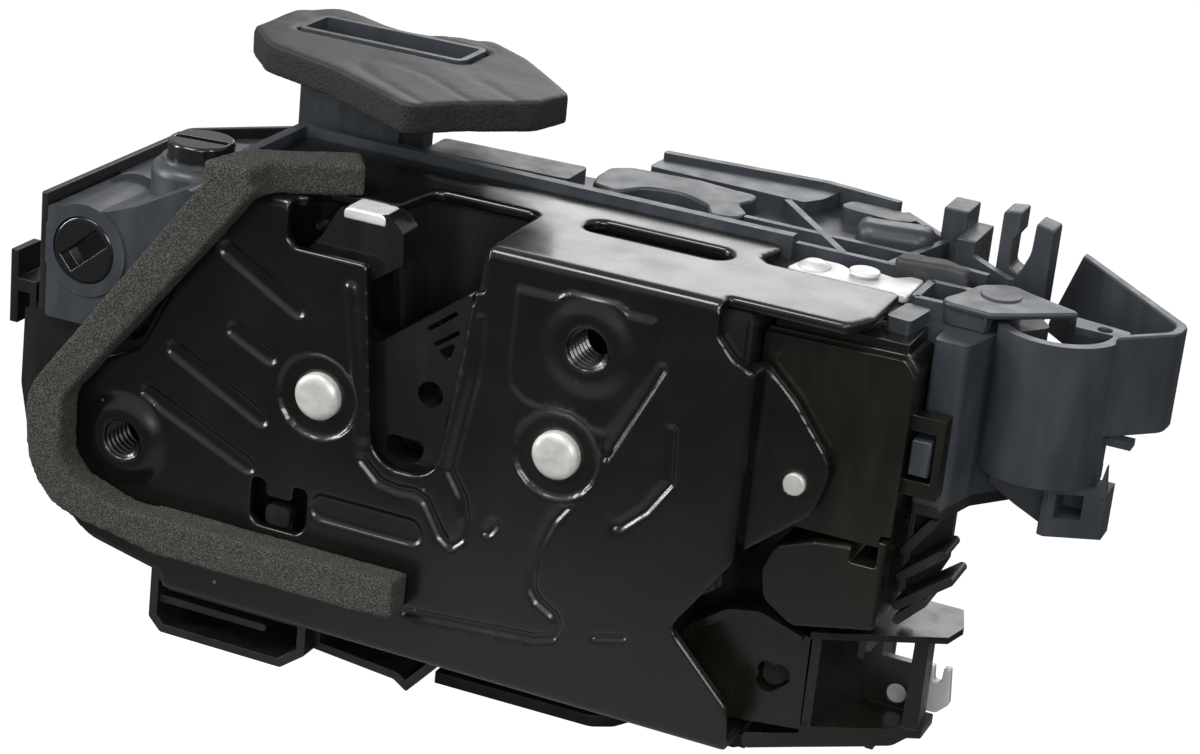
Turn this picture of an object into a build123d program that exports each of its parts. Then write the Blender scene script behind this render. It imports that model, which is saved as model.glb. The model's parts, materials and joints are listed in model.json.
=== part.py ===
"""Side-door latch with its lock drive: a steel latch plate with catch and pawl, and plastic housings.

Frame: origin at the centre of the main fixing hole on the front face of the latch plate.
+X runs along the plate, +Y points away from the plate face into the door, and +Z is the
side that the striker mouth opens to. All sizes are in millimetres.
"""
from math import atan2, cos, degrees, radians, sin, tan
import os

from build123d import *

# ---- sheet steel -------------------------------------------------------------------------
sheet = 2.0                 # thickness of the latch plate
fold_radius = 3.6           # outer radius of its long folds
fold_relief = 0.8           # room left in the box under the inner radius of a fold
flange_top = 12.5           # top face of the rear-turned flange
plate_bottom = -64.0        # underside of the lower fold
flange_depth = 33.6         # how far the top flange reaches back
lower_lip = 14.0            # how far the lower fold reaches back
stamp_depth = 0.6           # depth of the pressed beads
dish_radius = 7.6           # dished seat round each pivot rivet
dish_depth = 0.7
ear_face = 5.0              # front face of the ear, behind the plate face
ear_rivet = (35.0, -16.4)   # x, z
ear_rivet_radius = 1.9

# ---- fixing holes, M8 --------------------------------------------------------------------
fixing_bore = 3.4           # core radius of the M8 thread
collar_radius = 7.0
collar_rise = 0.8
collar_length = 8.0         # from the plate face to the back of the collar
second_hole = (-84.3, -37.1)

# ---- striker mouth -----------------------------------------------------------------------
slot_bottom = -29.9
mouth_left = -55.3
mouth_right = -20.8
mouth_sill = 4.6            # height of the ledge beside the slot
mouth_depth = 22.0          # back wall of the mouth, behind the plate face

# ---- catch and pawl ----------------------------------------------------------------------
catch_pivot = (-47.8, -20.5)
pawl_pivot = (-4.1, -19.9)
pivot_pin = 4.1             # radius of both rivets
pivot_fit = 0.05            # radial running fit on rivets and shafts
striker = 9.0               # diameter of the striker bar that the catch takes
catch_travel = 66.0         # degrees from open to fully latched
pawl_lift = 6.5             # degrees that the pawl is lifted while the catch is open
catch_front = 3.3           # front face of the moulded jacket
jacket = 0.7                # jacket thickness round the steel core
core = 4.0                  # thickness of the steel core
notch_radius = 22.5         # floor of the pawl notch, from the catch pivot
tooth_radius = 28.0         # tip of the latching tooth, from the catch pivot
tooth_end = -27.0           # far side of the latching tooth while the catch is open
throat = striker + 0.4
throat_end = (-40.6, -5.1)
throat_angle = 37.5
pawl_hub = 8.3
spring_wire = 0.55          # radius of the spring wire
spring_radius = 5.4

# ---- mechanism box behind the plate --------------------------------------------------------
box_depth = 24.0
backing_front = 11.3

# ---- housings ----------------------------------------------------------------------------
shell = 2.0                 # wall of the moulded housings
housing_floor = -18.0       # underside of the drive housing
housing_skin = 9.6          # top skin of the drive housing, below its ribs
rim_top = 14.0
hood_top = 11.9
sole = -74.5                # lowest plane of the whole latch
lock_back = 38.0            # back of the lower lock housing
seat_gap = 0.3              # clearance between parts that move
screw_places = ((-66, 46), (-66, 58), (36, 58.5), (50, 44))
screw_radius = 1.5

# ---- rotors ------------------------------------------------------------------------------
front_rotor = (-94.1, -5.1)     # x, z
front_rotor_radius = 5.95
top_rotor = (-81.5, 16.5)       # x, y
top_rotor_radius = 5.8
top_rotor_face = 13.5
rotor_fit = 0.08
rotor_stem = 2.0

# ---- connector ---------------------------------------------------------------------------
shroud_centre = (-63.0, 49.5)
shroud_size = (33.0, 11.0)
shroud_wall = 1.2
shroud_top = 28.3
pad_top = 28.0
pad_thickness = 5.5
pin_side = 0.64             # square contact pins
pin_pitch = 3.0

# ---- foam strip --------------------------------------------------------------------------
strip_thickness = 5.6

# ---- lock drive --------------------------------------------------------------------------
motor_radius = 9.4
motor_length = 26.0
motor_start = -46.0         # x of the motor's back
motor_y = 50.0
motor_z = -5.5
motor_flat = 7.6            # half height across the flats of the can
worm_length = 14.0
worm_root = 1.9
worm_tip = 2.6
wheel_centre = (-8.0, 37.8)
wheel_teeth = 30
wheel_tip = 9.5
wheel_low = -8.0            # underside of the worm wheel
shaft_radius = 1.5
lever_pivot_inner = (18.0, 40.0)
lock_lever_low = -12.0

# ---- levers ------------------------------------------------------------------------------
lever_pin_place = (34.5, 29.8)  # x, y of the release lever's pin
lever_pin_radius = 1.9
lever_low = 9.9
lever_sheet = 1.6
lever_swing = 0.9              # how far the lever's near edge moves forward
inner_pivot = (52.0, -56.2)     # x, z of the inner lever's pin
inner_pin_radius = 1.8

# ---- cable guide -------------------------------------------------------------------------
guide_centre = (68.0, 27.6)
guide_radius = 10.3
guide_wall = 1.8
guide_top = 11.6
guide_bottom = -12.5


def outline(*corners):
    """Closed face from corners given as (u, v, corner radius); a radius is limited by its sides."""
    points = [Vector(u, v) for u, v, _ in corners]
    edges = []
    starts = []
    stops = []
    for index, (_, _, radius) in enumerate(corners):
        here = points[index]
        before = points[index - 1] - here
        after = points[(index + 1) % len(points)] - here
        half_turn = radians(before.get_angle(after)) / 2
        room = 0.48 * min(before.length, after.length)
        reach = min(radius / tan(half_turn), room)
        if reach < 0.01:
            reach = 0
        start = here + before.normalized() * reach
        stop = here + after.normalized() * reach
        starts.append(start)
        stops.append(stop)
        if reach:
            bisector = (before.normalized() + after.normalized()).normalized()
            real_radius = reach * tan(half_turn)
            middle = here + bisector * (real_radius / sin(half_turn) - real_radius)
            edges.append(Edge.make_three_point_arc(start, middle, stop))
    for index, stop in enumerate(stops):
        following = starts[(index + 1) % len(points)]
        if (following - stop).length > 0.001:
            edges.append(Edge.make_line(stop, following))
    return Face(Wire.combine(edges)[0])


def slab_xz(face, front, back):
    """Extrude a face drawn in x and z from y=front to y=back."""
    plane = Plane(origin=(0, back, 0), x_dir=(1, 0, 0), z_dir=(0, -1, 0))
    return extrude(plane * face, back - front, dir=(0, -1, 0))


def slab_xy(face, low, high):
    """Extrude a face drawn in x and y from z=low to z=high."""
    return extrude(Plane.XY.offset(low) * face, high - low, dir=(0, 0, 1))


def slab_yz(face, left, right):
    """Extrude a face drawn in y and z from x=left to x=right."""
    plane = Plane(origin=(left, 0, 0), x_dir=(0, 1, 0), z_dir=(1, 0, 0))
    return extrude(plane * face, right - left, dir=(1, 0, 0))


def block(x0, x1, y0, y1, z0, z1):
    return Pos((x0 + x1) / 2, (y0 + y1) / 2, (z0 + z1) / 2) * Box(x1 - x0, y1 - y0, z1 - z0)


def post_y(x, z, radius, front, back):
    """Round bar along Y."""
    return slab_xz(Pos(x, z) * Circle(radius), front, back)


def post_z(x, y, radius, low, high):
    """Round bar along Z."""
    return slab_xy(Pos(x, y) * Circle(radius), low, high)


def bar(start, end, width):
    """Straight slot shape between two points, round at both ends."""
    line = Vector(*end) - Vector(*start)
    middle = (Vector(*start) + Vector(*end)) / 2
    angle = degrees(atan2(line.Y, line.X))
    return Pos(middle.X, middle.Y) * Rot(0, 0, angle) * SlotCenterToCenter(line.length, width)


def polar(centre, radius, angle):
    return (centre[0] + radius * cos(radians(angle)), centre[1] + radius * sin(radians(angle)))


def turned(shape, centre, degrees):
    """Turn a shape about an axis along Y; positive is clockwise seen from the front."""
    return shape.rotate(Axis((centre[0], 0, centre[1]), (0, 1, 0)), degrees)


# ---- latch plate -------------------------------------------------------------------------



def mouth_face(clearance=0.0):
    """Striker mouth and slot as seen from the front."""
    c = clearance
    return outline(
        (mouth_left - c, 20, 0), (mouth_left - c, mouth_sill - c, 2.2),
        (-40.4 - c, mouth_sill - c, 0.8), (-36.9 - c, slot_bottom - c, 5.4),
        (-25.1 + c, slot_bottom - c, 5.4), (mouth_right + c, 3.8, 2), (-19.4 + c, 20, 0))


def mouth_plan():
    """Opening of the mouth in the top flange."""
    return outline(
        (-53.8, -4, 0), (-53.8, 9.2, 3), (-40.4, 9.2, 1.5), (-38.9, 21.2, 2.5),
        (-19.5, 21.2, 2.5), (-19.2, -4, 0))


def plate_front():
    corners = (
        (-66.5, 9.5, 0), (-70.7, 4.2, 4), (-82.0, -20.0, 5), (-98.8, -28.0, 6),
        (-103.4, -36.5, 6), (-102.0, -49.0, 6), (-92.0, -57.0, 8), (-76.0, -60.6, 0),
        (30.4, -60.6, 0), (30.2, -56.0, 2), (18.8, -44.4, 1.5), (25.0, -35.0, 0),
        (25.0, 2.6, 2), (21.0, 6.8, 1.5), (21.0, 9.5, 0))
    return slab_xz(outline(*corners), 0, sheet)


def plate_top_fold():
    inner = fold_radius - sheet
    section = outline(
        (0, 9.0, 0), (0, flange_top, fold_radius), (flange_depth, flange_top, 0),
        (flange_depth, flange_top - sheet, 0), (sheet, flange_top - sheet, inner),
        (sheet, 9.0, 0))
    fold = slab_yz(section, -72, 21.0)
    wing = block(20.9, 43.2, 3.4, 23.0, flange_top - sheet, flange_top)
    plan = outline(
        (-66.5, -1, 0), (-66.5, 2, 1), (-70.5, 13, 3), (-70.5, flange_depth, 2),
        (17.5, flange_depth, 1), (19.8, 31.5, 1), (18.2, 25.2, 0.8), (20.6, 22.8, 0.8),
        (43.0, 22.8, 1), (43.2, 9.0, 3), (40.8, 3.4, 2), (21.0, 3.4, 0), (21.0, -1, 0))
    return (fold + wing) & slab_xy(plan, 8.9, flange_top)


def plate_bottom_fold():
    inner = fold_radius - sheet
    section = outline(
        (0, -60.5, 0), (0, plate_bottom, fold_radius), (lower_lip, plate_bottom, 0),
        (lower_lip, plate_bottom + sheet, 0), (sheet, plate_bottom + sheet, inner),
        (sheet, -60.5, 0))
    return slab_yz(section, -76.0, 30.4)




def plate_ear():
    """Right-hand joggle that steps back to the riveted ear."""
    section = outline(
        (24.9, 0, 0), (28, 0, 3), (28, ear_face, 1), (42, ear_face, 0),
        (42, ear_face + sheet, 0), (26, ear_face + sheet, 3), (26, sheet, 1), (24.9, sheet, 0))
    sight = outline(
        (24.0, -36.5, 0), (28.6, -29.6, 2), (38.5, -21.0, 5), (41.0, -12.5, 6),
        (33.5, -3.0, 6), (28.5, 1.6, 1.5), (24.0, 3.6, 0))
    return slab_xy(section, -37, 4) & slab_xz(sight, -1, 9)


def bead_marks():
    """Stiffening beads pressed into the plate face."""
    lines = (
        ((-66.2, 1.4), (-52.6, -6.0), 3.2), ((-64.2, -12.4), (-57.2, -15.6), 3.0),
        ((-75.4, -18.6), (-58.2, -27.0), 3.2), ((-80.2, -27.8), (-60.2, -36.2), 3.2),
        ((-45.3, -40.2), (-29.0, -40.2), 5.2), ((6.0, -49.8), (11.0, -48.4), 1.4),
        ((15.8, -10.0), (15.8, -19.0), 1.6), ((15.8, -19.0), (9.2, -28.2), 1.6))
    marks = Sketch()
    for start, end, width in lines:
        marks += bar(start, end, width)
    marks += Pos(-14.3, -35.5) * Rot(0, 0, 60) * SlotOverall(4.2, 2.2)
    return marks


def rib_marks():
    """Raised ribs round the mouth slot and across the face."""
    lines = (
        ((-42.8, 0.0), (-40.9, -13.0), 1.6), ((-40.9, -13.0), (-39.0, -25.4), 1.6),
        ((-22.4, -22.4), (-19.0, -0.5), 1.6), ((4.5, -16.6), (12.6, 0.4), 1.8),
        ((-24.0, -31.0), (-19.8, -38.0), 1.6))
    marks = Sketch()
    for start, end, width in lines:
        marks += bar(start, end, width)
    return marks


def pad_face():
    """Raised pad round the main fixing hole."""
    return outline(
        (-13.2, 7.4, 2.5), (-13.4, -8.2, 4), (-7.0, -11.6, 3), (1.8, -11.0, 3),
        (7.0, -8.2, 3), (8.6, -2.0, 4), (9.6, 7.4, 3))


def latch_plate():
    body = plate_front() + plate_top_fold() + plate_bottom_fold() + plate_ear()
    body += slab_xz(pad_face(), -stamp_depth, 0)
    for x, z in ((0, 0), second_hole):
        body += Pos(x, 0, z) * Rot(90, 0, 0) * Cone(collar_radius + 1.6, collar_radius - 1.0,
                                                    2 * collar_rise + 2 * stamp_depth)
        body += post_y(x, z, collar_radius, 0, collar_length)
    body += slab_xz(rib_marks(), -stamp_depth, 0)
    for x, z in (catch_pivot, pawl_pivot):
        body -= post_y(x, z, dish_radius, -2, dish_depth)
        body -= post_y(x, z, pivot_pin, -2, 4)
    body -= slab_xz(bead_marks(), -2, stamp_depth)
    body -= slab_xz(mouth_face(), -3, 3.7)
    body -= slab_xy(mouth_plan(), mouth_sill, 20)
    body -= slab_xy(Pos(1.4, 21.8) * SlotOverall(26.0, 6.5), 8, 14)
    for x, z in ((0, 0), second_hole):
        body -= post_y(x, z, fixing_bore, -4, 12)
    body -= post_y(*ear_rivet, ear_rivet_radius, 0, 12)
    window = outline((-59.2, -38.0, 1), (-59.2, -46.6, 2.5), (-48.6, -46.6, 2.5), (-48.6, -38.0, 1),
                     (-51.2, -38.0, 0.5), (-51.2, -40.8, 0.5), (-56.4, -40.8, 0.5), (-56.4, -38.0, 1))
    body -= slab_xz(window, -1, 3)
    return body


def backing_face():
    return outline(
        (-63, -33, 6), (-63, 0, 4), (-57, 8, 2), (9, 8, 2), (9, -26, 6), (-2, -33, 5),
        (-22, -36, 4), (-44, -35, 6))


def backing_plate():
    """Steel plate that carries the far ends of both rivets."""
    body = slab_xz(backing_face(), backing_front, backing_front + sheet)
    body -= slab_xz(mouth_face(0.8), 8, 16)
    body -= post_y(0, 0, collar_radius + 0.5, 8, 16)
    for x, z in (catch_pivot, pawl_pivot):
        body -= post_y(x, z, pivot_pin, 8, 16)
    return body


def pivot_rivet(centre):
    """Shouldered pivot rivet, peened flush in the plate's dish."""
    x, z = centre
    back = backing_front + sheet
    body = post_y(x, z, pivot_pin, -0.2, back + 1.6)
    crown = post_y(x, z, pivot_pin - 0.5, -0.6, -0.2)
    return body + crown


def ear_rivet_pin():
    return post_y(*ear_rivet, ear_rivet_radius, ear_face - 0.6, ear_face + sheet + 6.0)


# ---- catch -------------------------------------------------------------------------------



def catch_blank(grow, front, back):
    """Plate-like body of the open catch; grow sets the jacket outside the steel core."""
    body = outline(
        (-47.0, 11.7, 1.4), (-38.3, 11.7, 1.2), (-36.4, 9.7, 1.2), (-35.9, 2.0, 0.6),
        (-24.8, 2.4, 0.6), (-22.9, 1.4, 1.0), (-22.2, -2.8, 1.0), (-26.0, -20.0, 0.6),
        (-26.6, -25.0, 1), (-28.0, -32.6, 2.5), (-37.0, -37.4, 6), (-46.0, -34.0, 8), (-54.0, -32.0, 8),
        (-60.5, -20.0, 8), (-58.0, -8.0, 6), (-52.2, 3.4, 2), (-49.8, 6.4, 2))
    tooth = outline(
        (-37.0, -24.0, 0), (*polar(catch_pivot, tooth_radius - jacket, -1.5), 0.4),
        (*polar(catch_pivot, tooth_radius - jacket, -10), 5), (*polar(catch_pivot, tooth_radius - jacket, -19), 5),
        (*polar(catch_pivot, tooth_radius - jacket, tooth_end), 1.5), (-37.0, -30.0, 0))
    if grow:
        body = offset(body, grow, kind=Kind.ARC)
        tooth = offset(tooth, grow, kind=Kind.ARC)
    return slab_xz(body, front, back) + slab_xz(tooth, front, back)


def catch_openings():
    """Throat for the striker, the kidney window and the lightening hole."""
    reach = Pos(*throat_end) * Rot(0, 0, throat_angle) * Pos(20, 0) * Rectangle(40, throat)
    end = Pos(*throat_end) * Circle(throat / 2)
    window = outline((-36.2, -25.0, 1.5), (-28.4, -25.2, 1.5), (-29.8, -29.0, 1.5), (-35.6, -30.0, 1.5))
    return [reach, end, window, Pos(-28.6, -16.4) * Circle(2.3)]


def catch_core():
    front = catch_front + jacket
    body = catch_blank(0, front, front + core)
    for hole in catch_openings():
        body -= slab_xz(offset(hole, jacket), 0, 20)
    body -= slab_xz(outline((-31, 4, 0), (-31, -5.5, 1), (-27, -9.5, 2), (-20, -9.5, 0), (-20, 4, 0)), 0, 20)
    body -= post_y(*catch_pivot, pivot_pin + pivot_fit, 0, 20)
    return body


def catch_jacket():
    """Plastic overmould that leaves the top of the hook bare."""
    back = catch_front + 2 * jacket + core
    body = catch_blank(jacket, catch_front, back)
    for hole in catch_openings():
        body -= slab_xz(hole, 0, 20)
    for start, end in (((-29.8, -5.0), (-25.2, -1.4)), ((-28.4, -7.4), (-24.6, -4.6))):
        body -= slab_xz(bar(start, end, 0.8), 0, 20)
    body -= slab_xz(outline((-27.8, -8.4, 0.4), (-24.6, -6.0, 0.4), (-25.8, -10.0, 0.4)), 0, 20)
    body -= catch_core()
    body -= block(-49.5, -39.2, catch_front + jacket, back + 1, 7.0, 14)
    body -= post_y(*catch_pivot, pivot_pin + pivot_fit, 0, 20)
    body -= post_y(*catch_pivot, pivot_pin + pivot_fit + 2.2, catch_front - 1, catch_front + jacket)
    body -= post_y(*catch_pivot, pivot_pin + pivot_fit + 2.2, back - jacket, back + 1)
    return body


# ---- pawl --------------------------------------------------------------------------------



def pawl_face():
    """Sickle-shaped pawl, drawn where it engages the latched catch."""
    engaged = -catch_travel
    nose = notch_radius + jacket + 1.4
    return outline(
        (*polar(catch_pivot, nose, engaged + 1.6), 0.4), (*polar(catch_pivot, nose + 0.2, engaged + 10), 1),
        (*polar(catch_pivot, 29.4, engaged + 21), 2), (*polar(catch_pivot, 33.9, engaged + 33), 2),
        (*polar(catch_pivot, 35.6, engaged + 45), 3), (-11.0, -25.0, 2), (pawl_pivot[0], pawl_pivot[1], 0),
        (2.6, -26.0, 2), (-3.0, -38.0, 8), (-14.0, -47.5, 8), (-26.0, -50.0, 5),
        (*polar(catch_pivot, 31.0, engaged + 1.2), 1.5))


def pawl_core():
    front = catch_front + jacket
    body = slab_xz(pawl_face(), front, front + core) + post_y(*pawl_pivot, pawl_hub, front, front + core)
    body -= post_y(*pawl_pivot, pivot_pin + pivot_fit, 0, 20)
    return turned(body, pawl_pivot, -pawl_lift)


def pawl_lever():
    """Moulded release lever that sits on the back of the pawl."""
    front = catch_front + jacket + core
    arm = outline(
        (-9.0, -16.0, 3), (3.0, -13.0, 4), (14.0, -23.0, 2), (19.5, -24.5, 1.5), (19.5, -31.0, 1.5),
        (11.0, -31.0, 3), (1.0, -27.5, 4), (-9.0, -25.0, 3))
    body = slab_xz(arm, front, front + 2.0)
    body += post_y(16.0, -27.6, 2.2, front, front + 4.6)
    body -= post_y(*pawl_pivot, pivot_pin + pivot_fit, 0, 20)
    return turned(body, pawl_pivot, -pawl_lift)


# ---- mechanism box -----------------------------------------------------------------------

def box_outline():
    return outline(
        (-67.8, flange_top - sheet, 0), (-71.8, 3.0, 3), (-83.4, -20.0, 2), (-106.6, -19.0, 0),
        (-107.0, -33.0, 5), (-104.0, -49.0, 6), (-92.0, -58.6, 8), (-76.0, plate_bottom + sheet, 2),
        (16.6, plate_bottom + sheet, 1), (16.6, -43.0, 1), (25.7, -36.0, 1), (25.7, flange_top - sheet, 1))


def mechanism_room():
    """Space that the catch and the pawl sweep through."""
    swept = Pos(*catch_pivot) * Circle(34.6)
    swept &= Pos(-22, -23.2) * Rectangle(84, 67.4)
    pawl_side = outline(
        (-34, -28, 0), (-42, -57.5, 4), (-20, -59, 6), (8, -50, 6), (22.5, -38, 5), (22.5, -11, 5),
        (9.5, -8.5, 5), (-10, -8.5, 3), (-16, -6, 0), (-30, -10, 0))
    return swept + pawl_side


def mechanism_box():
    """Black moulded box behind the latch plate, with the striker mouth."""
    room_back = backing_front + sheet
    body = slab_xz(box_outline(), sheet, box_depth)
    body -= slab_xz(mechanism_room(), 1, room_back)
    body -= slab_xz(mouth_face(), 1, room_back)
    slot = mouth_face() & Pos(-20.2, -10) * Rectangle(40.4, 60)
    body -= slab_xz(slot, 1, mouth_depth)
    body -= slab_xz(offset(backing_face(), 0.2), backing_front, room_back)
    for x, z in ((0, 0), second_hole):
        body -= post_y(x, z, collar_radius + 0.1, 1, 20)
    for x, z in (catch_pivot, pawl_pivot):
        body -= post_y(x, z, 6.2, 1, 15.2)
    body -= block(-78, 31, 0, lower_lip, plate_bottom - 1, plate_bottom + sheet)
    # relief under the inner radius of the plate's folds
    body -= block(-78, 31, 0, sheet + fold_relief, plate_bottom, plate_bottom + sheet + fold_relief)
    top = flange_top - sheet
    body -= block(-78, 31, 0, sheet + fold_relief, top - fold_relief, top + 1)
    body -= block(25.7 - fold_relief, 31, 0, sheet + fold_relief, -40, top)
    for z in (-33.0, -42.0, -51.0):
        body -= block(-110, -104.2, box_depth - 14, box_depth + 1, z, z + 5.5)
    hook = outline((-56.4, -62, 0), (-51.8, -62, 0), (-51.8, -42.4, 1.2), (-56.4, -42.4, 1.2))
    foot = block(-60, -50, 0, box_depth, plate_bottom - sheet, plate_bottom + sheet + fold_relief)
    body += slab_xz(hook, sheet, catch_front - seat_gap) - foot
    barb = outline((-56.4, -46.0, 1), (-51.8, -46.0, 1), (-51.8, -42.4, 1.2), (-56.4, -42.4, 1.2))
    return body + slab_xz(barb, 0.6, sheet)


# ---- striker buffer and springs -------------------------------------------------------------

def striker_buffer():
    """Rubber block at the bottom of the mouth that stops the striker."""
    face = offset(mouth_face(), -seat_gap) & Pos(-31, slot_bottom) * Rectangle(14, 14)
    return slab_xz(face, backing_front + sheet + 0.4, mouth_depth)


def torsion_spring(centre, front, turns, legs):
    """Wound spring round a rivet, drawn as stacked rings with two straight legs."""
    x, z = centre
    pitch = 1.9 * spring_wire
    levels = [front + spring_wire + pitch * turn for turn in range(turns)]
    body = Pos(x, levels[0], z) * Rot(90, 0, 0) * Torus(spring_radius, spring_wire)
    for level in levels[1:]:
        body += Pos(x, level, z) * Rot(90, 0, 0) * Torus(spring_radius, spring_wire)
    for end, level in zip(legs, (levels[0], levels[-1])):
        reach = Vector(end[0] - x, 0, end[1] - z)
        side = Vector(reach.Z, 0, -reach.X).normalized() * spring_radius
        start = Vector(x, level, z) + side - reach.normalized()
        plane = Plane(start, z_dir=reach.normalized())
        body += plane * Pos(0, 0, reach.length / 2) * Cylinder(0.94 * spring_wire, reach.length)
    return body


def catch_spring():
    legs = ((-59.0, -28.0), (-57.0, -10.0))
    return torsion_spring(catch_pivot, catch_front + 2 * jacket + core + 0.15, 2, legs)


def pawl_spring():
    legs = ((-12.0, -28.0), (3.0, -31.0))
    return torsion_spring(pawl_pivot, catch_front + jacket + core + 2.1, 1, legs)


# ---- drive housing (blue-grey) ---------------------------------------------------------------

def housing_plan():
    return outline(
        (-72.6, box_depth, 0), (28.0, box_depth, 0), (28.0, 20.0, 0), (51.8, 20.0, 0),
        (51.8, 13.6, 0.8), (57.4, 13.6, 1.5), (59.4, 22.0, 2), (66.0, 31.0, 2), (57.0, 43.0, 3),
        (47.5, 54.0, 3), (30.0, 67.0, 4), (14.5, 69.5, 1.5), (-15.5, 66.0, 2), (-46.0, 62.0, 4),
        (-72.6, 62.0, 2))


def upper_plan():
    """Part of the drive housing that rises to the top skin."""
    return outline(
        (-72.6, box_depth, 0), (28.0, box_depth, 0), (28.0, 20.0, 0), (51.8, 20.0, 0),
        (51.8, 13.6, 0.8), (57.4, 13.6, 1.5), (59.4, 22.0, 2), (66.0, 31.0, 2), (57.0, 43.0, 3),
        (47.5, 54.0, 3), (30.0, 67.0, 4), (14.5, 69.5, 1.5), (-15.5, 66.5, 2), (-14.5, 49.5, 1),
        (-50.0, 46.5, 1), (-50.0, 40.0, 1), (-72.6, 40.0, 1))


def hood_face():
    return outline((48.2, 25.6, 3), (50.8, 34.6, 4), (58.2, 41.6, 3), (68.8, 34.8, 2), (70.0, 29.6, 1),
                   (64.4, 25.4, 2), (58.2, 23.4, 1.5))


def stop_face():
    return outline((37.0, 35.0, 1.5), (46.4, 36.8, 1.5), (49.6, 36.0, 1.0), (50.2, 38.4, 1.5), (45.0, 41.0, 2),
                   (38.0, 39.5, 2))


def ring_wall(face, wall, low, high):
    """Upright wall that follows the edge of a face."""
    return slab_xy(face, low, high) - slab_xy(offset(face, -wall, kind=Kind.INTERSECTION), low - 1, high + 1)


def rib(start, end, low, high, wall=1.4):
    return slab_xy(bar(start, end, wall), low, high)


def main_housing():
    low_top = 6.0
    body = slab_xy(housing_plan(), housing_floor, low_top)
    body += slab_xy(upper_plan(), low_top - 1, housing_skin)
    room = outline((-49, 27, 2), (22, 27, 2), (40, 30, 2), (40, 52, 2), (20, 60.5, 2), (-49, 60, 2))
    body -= slab_xy(room, housing_floor - 1, low_top - shell)
    # ridge that stands behind the flange, turning forwards at its left end
    body += block(-72.6, 20.4, flange_depth + 0.2, flange_depth + 2.2, housing_skin - 1, rim_top)
    body += block(-72.6, -70.7, 15.0, flange_depth + 2.2, 5.3, rim_top)
    # long raised rail on the left half
    rail = outline((-49.5, 37.6, 1), (-12.5, 39.4, 1), (-12.5, 48.5, 1), (-49.5, 46.0, 1))
    body += slab_xy(rail, housing_skin - 1, rim_top + 0.2)
    # curved islands in the middle
    island = outline((-12.0, 40.5, 2), (4.0, 41.5, 2), (12.0, 40.0, 1.5), (16.5, 43.0, 1.5),
                     (15.0, 47.0, 2), (17.0, 50.5, 1), (2.0, 56.0, 3), (-11.5, 53.0, 2))
    body += slab_xy(island, housing_skin - 1, rim_top - 0.6)
    # raised far edge
    edge_bank = outline((-14.5, 60.5, 1), (14.0, 61.0, 1), (29.0, 59.5, 2), (29.5, 66.6, 2),
                        (14.5, 69.4, 1.5), (-15.4, 66.4, 1))
    body += slab_xy(edge_bank, housing_skin - 1, rim_top + 0.4)
    # lattice of ribs on the right half
    top = rim_top - 1.2
    lattice = (((18, 38), (52, 45)), ((20, 48), (44, 52)), ((24, 38), (31, 58)), ((36, 56), (52, 40)),
               ((40, 42), (46, 52)), ((22, 37), (50, 37)), ((32, 64), (56, 42)))
    for start, end in lattice:
        body += rib(start, end, housing_skin - 0.5, top)
    # square web behind the lever
    web = outline((45, 24, 1), (56, 24, 1), (56, 33, 1), (45, 33, 1))
    body += ring_wall(web, 1.4, housing_skin - 1, top - 0.6)
    # oval island between the ribs
    body += slab_xy(Pos(37.5, 47.5) * Rot(0, 0, 10) * SlotOverall(12, 5.5), housing_skin - 1, top + 0.8)
    for face in (hood_face(), stop_face()):
        body -= slab_xy(face, housing_skin, top + 2)
    for x, y in screw_places:
        body -= post_z(x, y, 1.5, housing_floor - 1, housing_floor + 8)
    for x, y in (wheel_centre, lever_pivot_inner):
        body -= post_z(x, y, shaft_radius, housing_floor, low_top - shell + 1.2)
    return body - post_z(*lever_pin_place, lever_pin_radius, housing_skin - 3, housing_skin + 1)




def housing_cover():
    """Black cover that closes the underside of the drive housing."""
    cover = slab_xy(housing_plan(), housing_floor - shell, housing_floor)
    room_lip = outline((-48.6, 27.4, 2), (21.6, 27.4, 2), (39.6, 30.4, 2), (39.6, 51.6, 2), (19.6, 60.1, 2),
                       (-48.6, 59.6, 2))
    cover += ring_wall(room_lip, 1.4, housing_floor, housing_floor + 1.5)
    for x, y in screw_places:
        cover -= post_z(x, y, screw_radius, housing_floor - shell - 1, housing_floor + 1)
    for (x, y), seat in ((wheel_centre, wheel_low), (lever_pivot_inner, lock_lever_low)):
        cover += post_z(x, y, 2 * shaft_radius, housing_floor, seat - seat_gap)
        cover -= post_z(x, y, shaft_radius, housing_floor - 0.5, seat)
    return cover




def cover_screws():
    low = housing_floor - shell
    screws = []
    for x, y in screw_places:
        screw = post_z(x, y, screw_radius, low, housing_floor + 8)
        screw += post_z(x, y, 2 * screw_radius, low - 1.6, low)
        screw -= Pos(x, y, low - 1.6) * (Box(4.2, 0.8, 1.6) + Box(0.8, 4.2, 1.6))
        screws.append(screw)
    return Compound(children=screws)


# ---- lock drive ------------------------------------------------------------------------------



def motor_can():
    middle = Pos(motor_start + motor_length / 2, motor_y, motor_z) * Rot(0, 90, 0)
    body = middle * Cylinder(motor_radius, motor_length)
    body &= block(-200, 200, motor_y - motor_radius, motor_y + motor_radius, motor_z - motor_flat, motor_z + motor_flat)
    body += middle * Pos(0, 0, motor_length / 2 + 1) * Cylinder(3.0, 2.0)
    return body - middle * Pos(0, 0, motor_length / 2) * Cylinder(1.0 + pivot_fit, 14)


def motor_cradle():
    """Saddle that the motor sits in, standing on the cover."""
    left, right = motor_start + 2, motor_start + motor_length - 2
    body = block(left, right, motor_y - 8, motor_y + 8, housing_floor, motor_z - 4)
    body -= Pos(motor_start + motor_length / 2, motor_y, motor_z) * Rot(0, 90, 0) * Cylinder(motor_radius, motor_length)
    return body - block(left, right, motor_y - 8, motor_y + 8, motor_z - motor_flat, motor_z)


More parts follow.
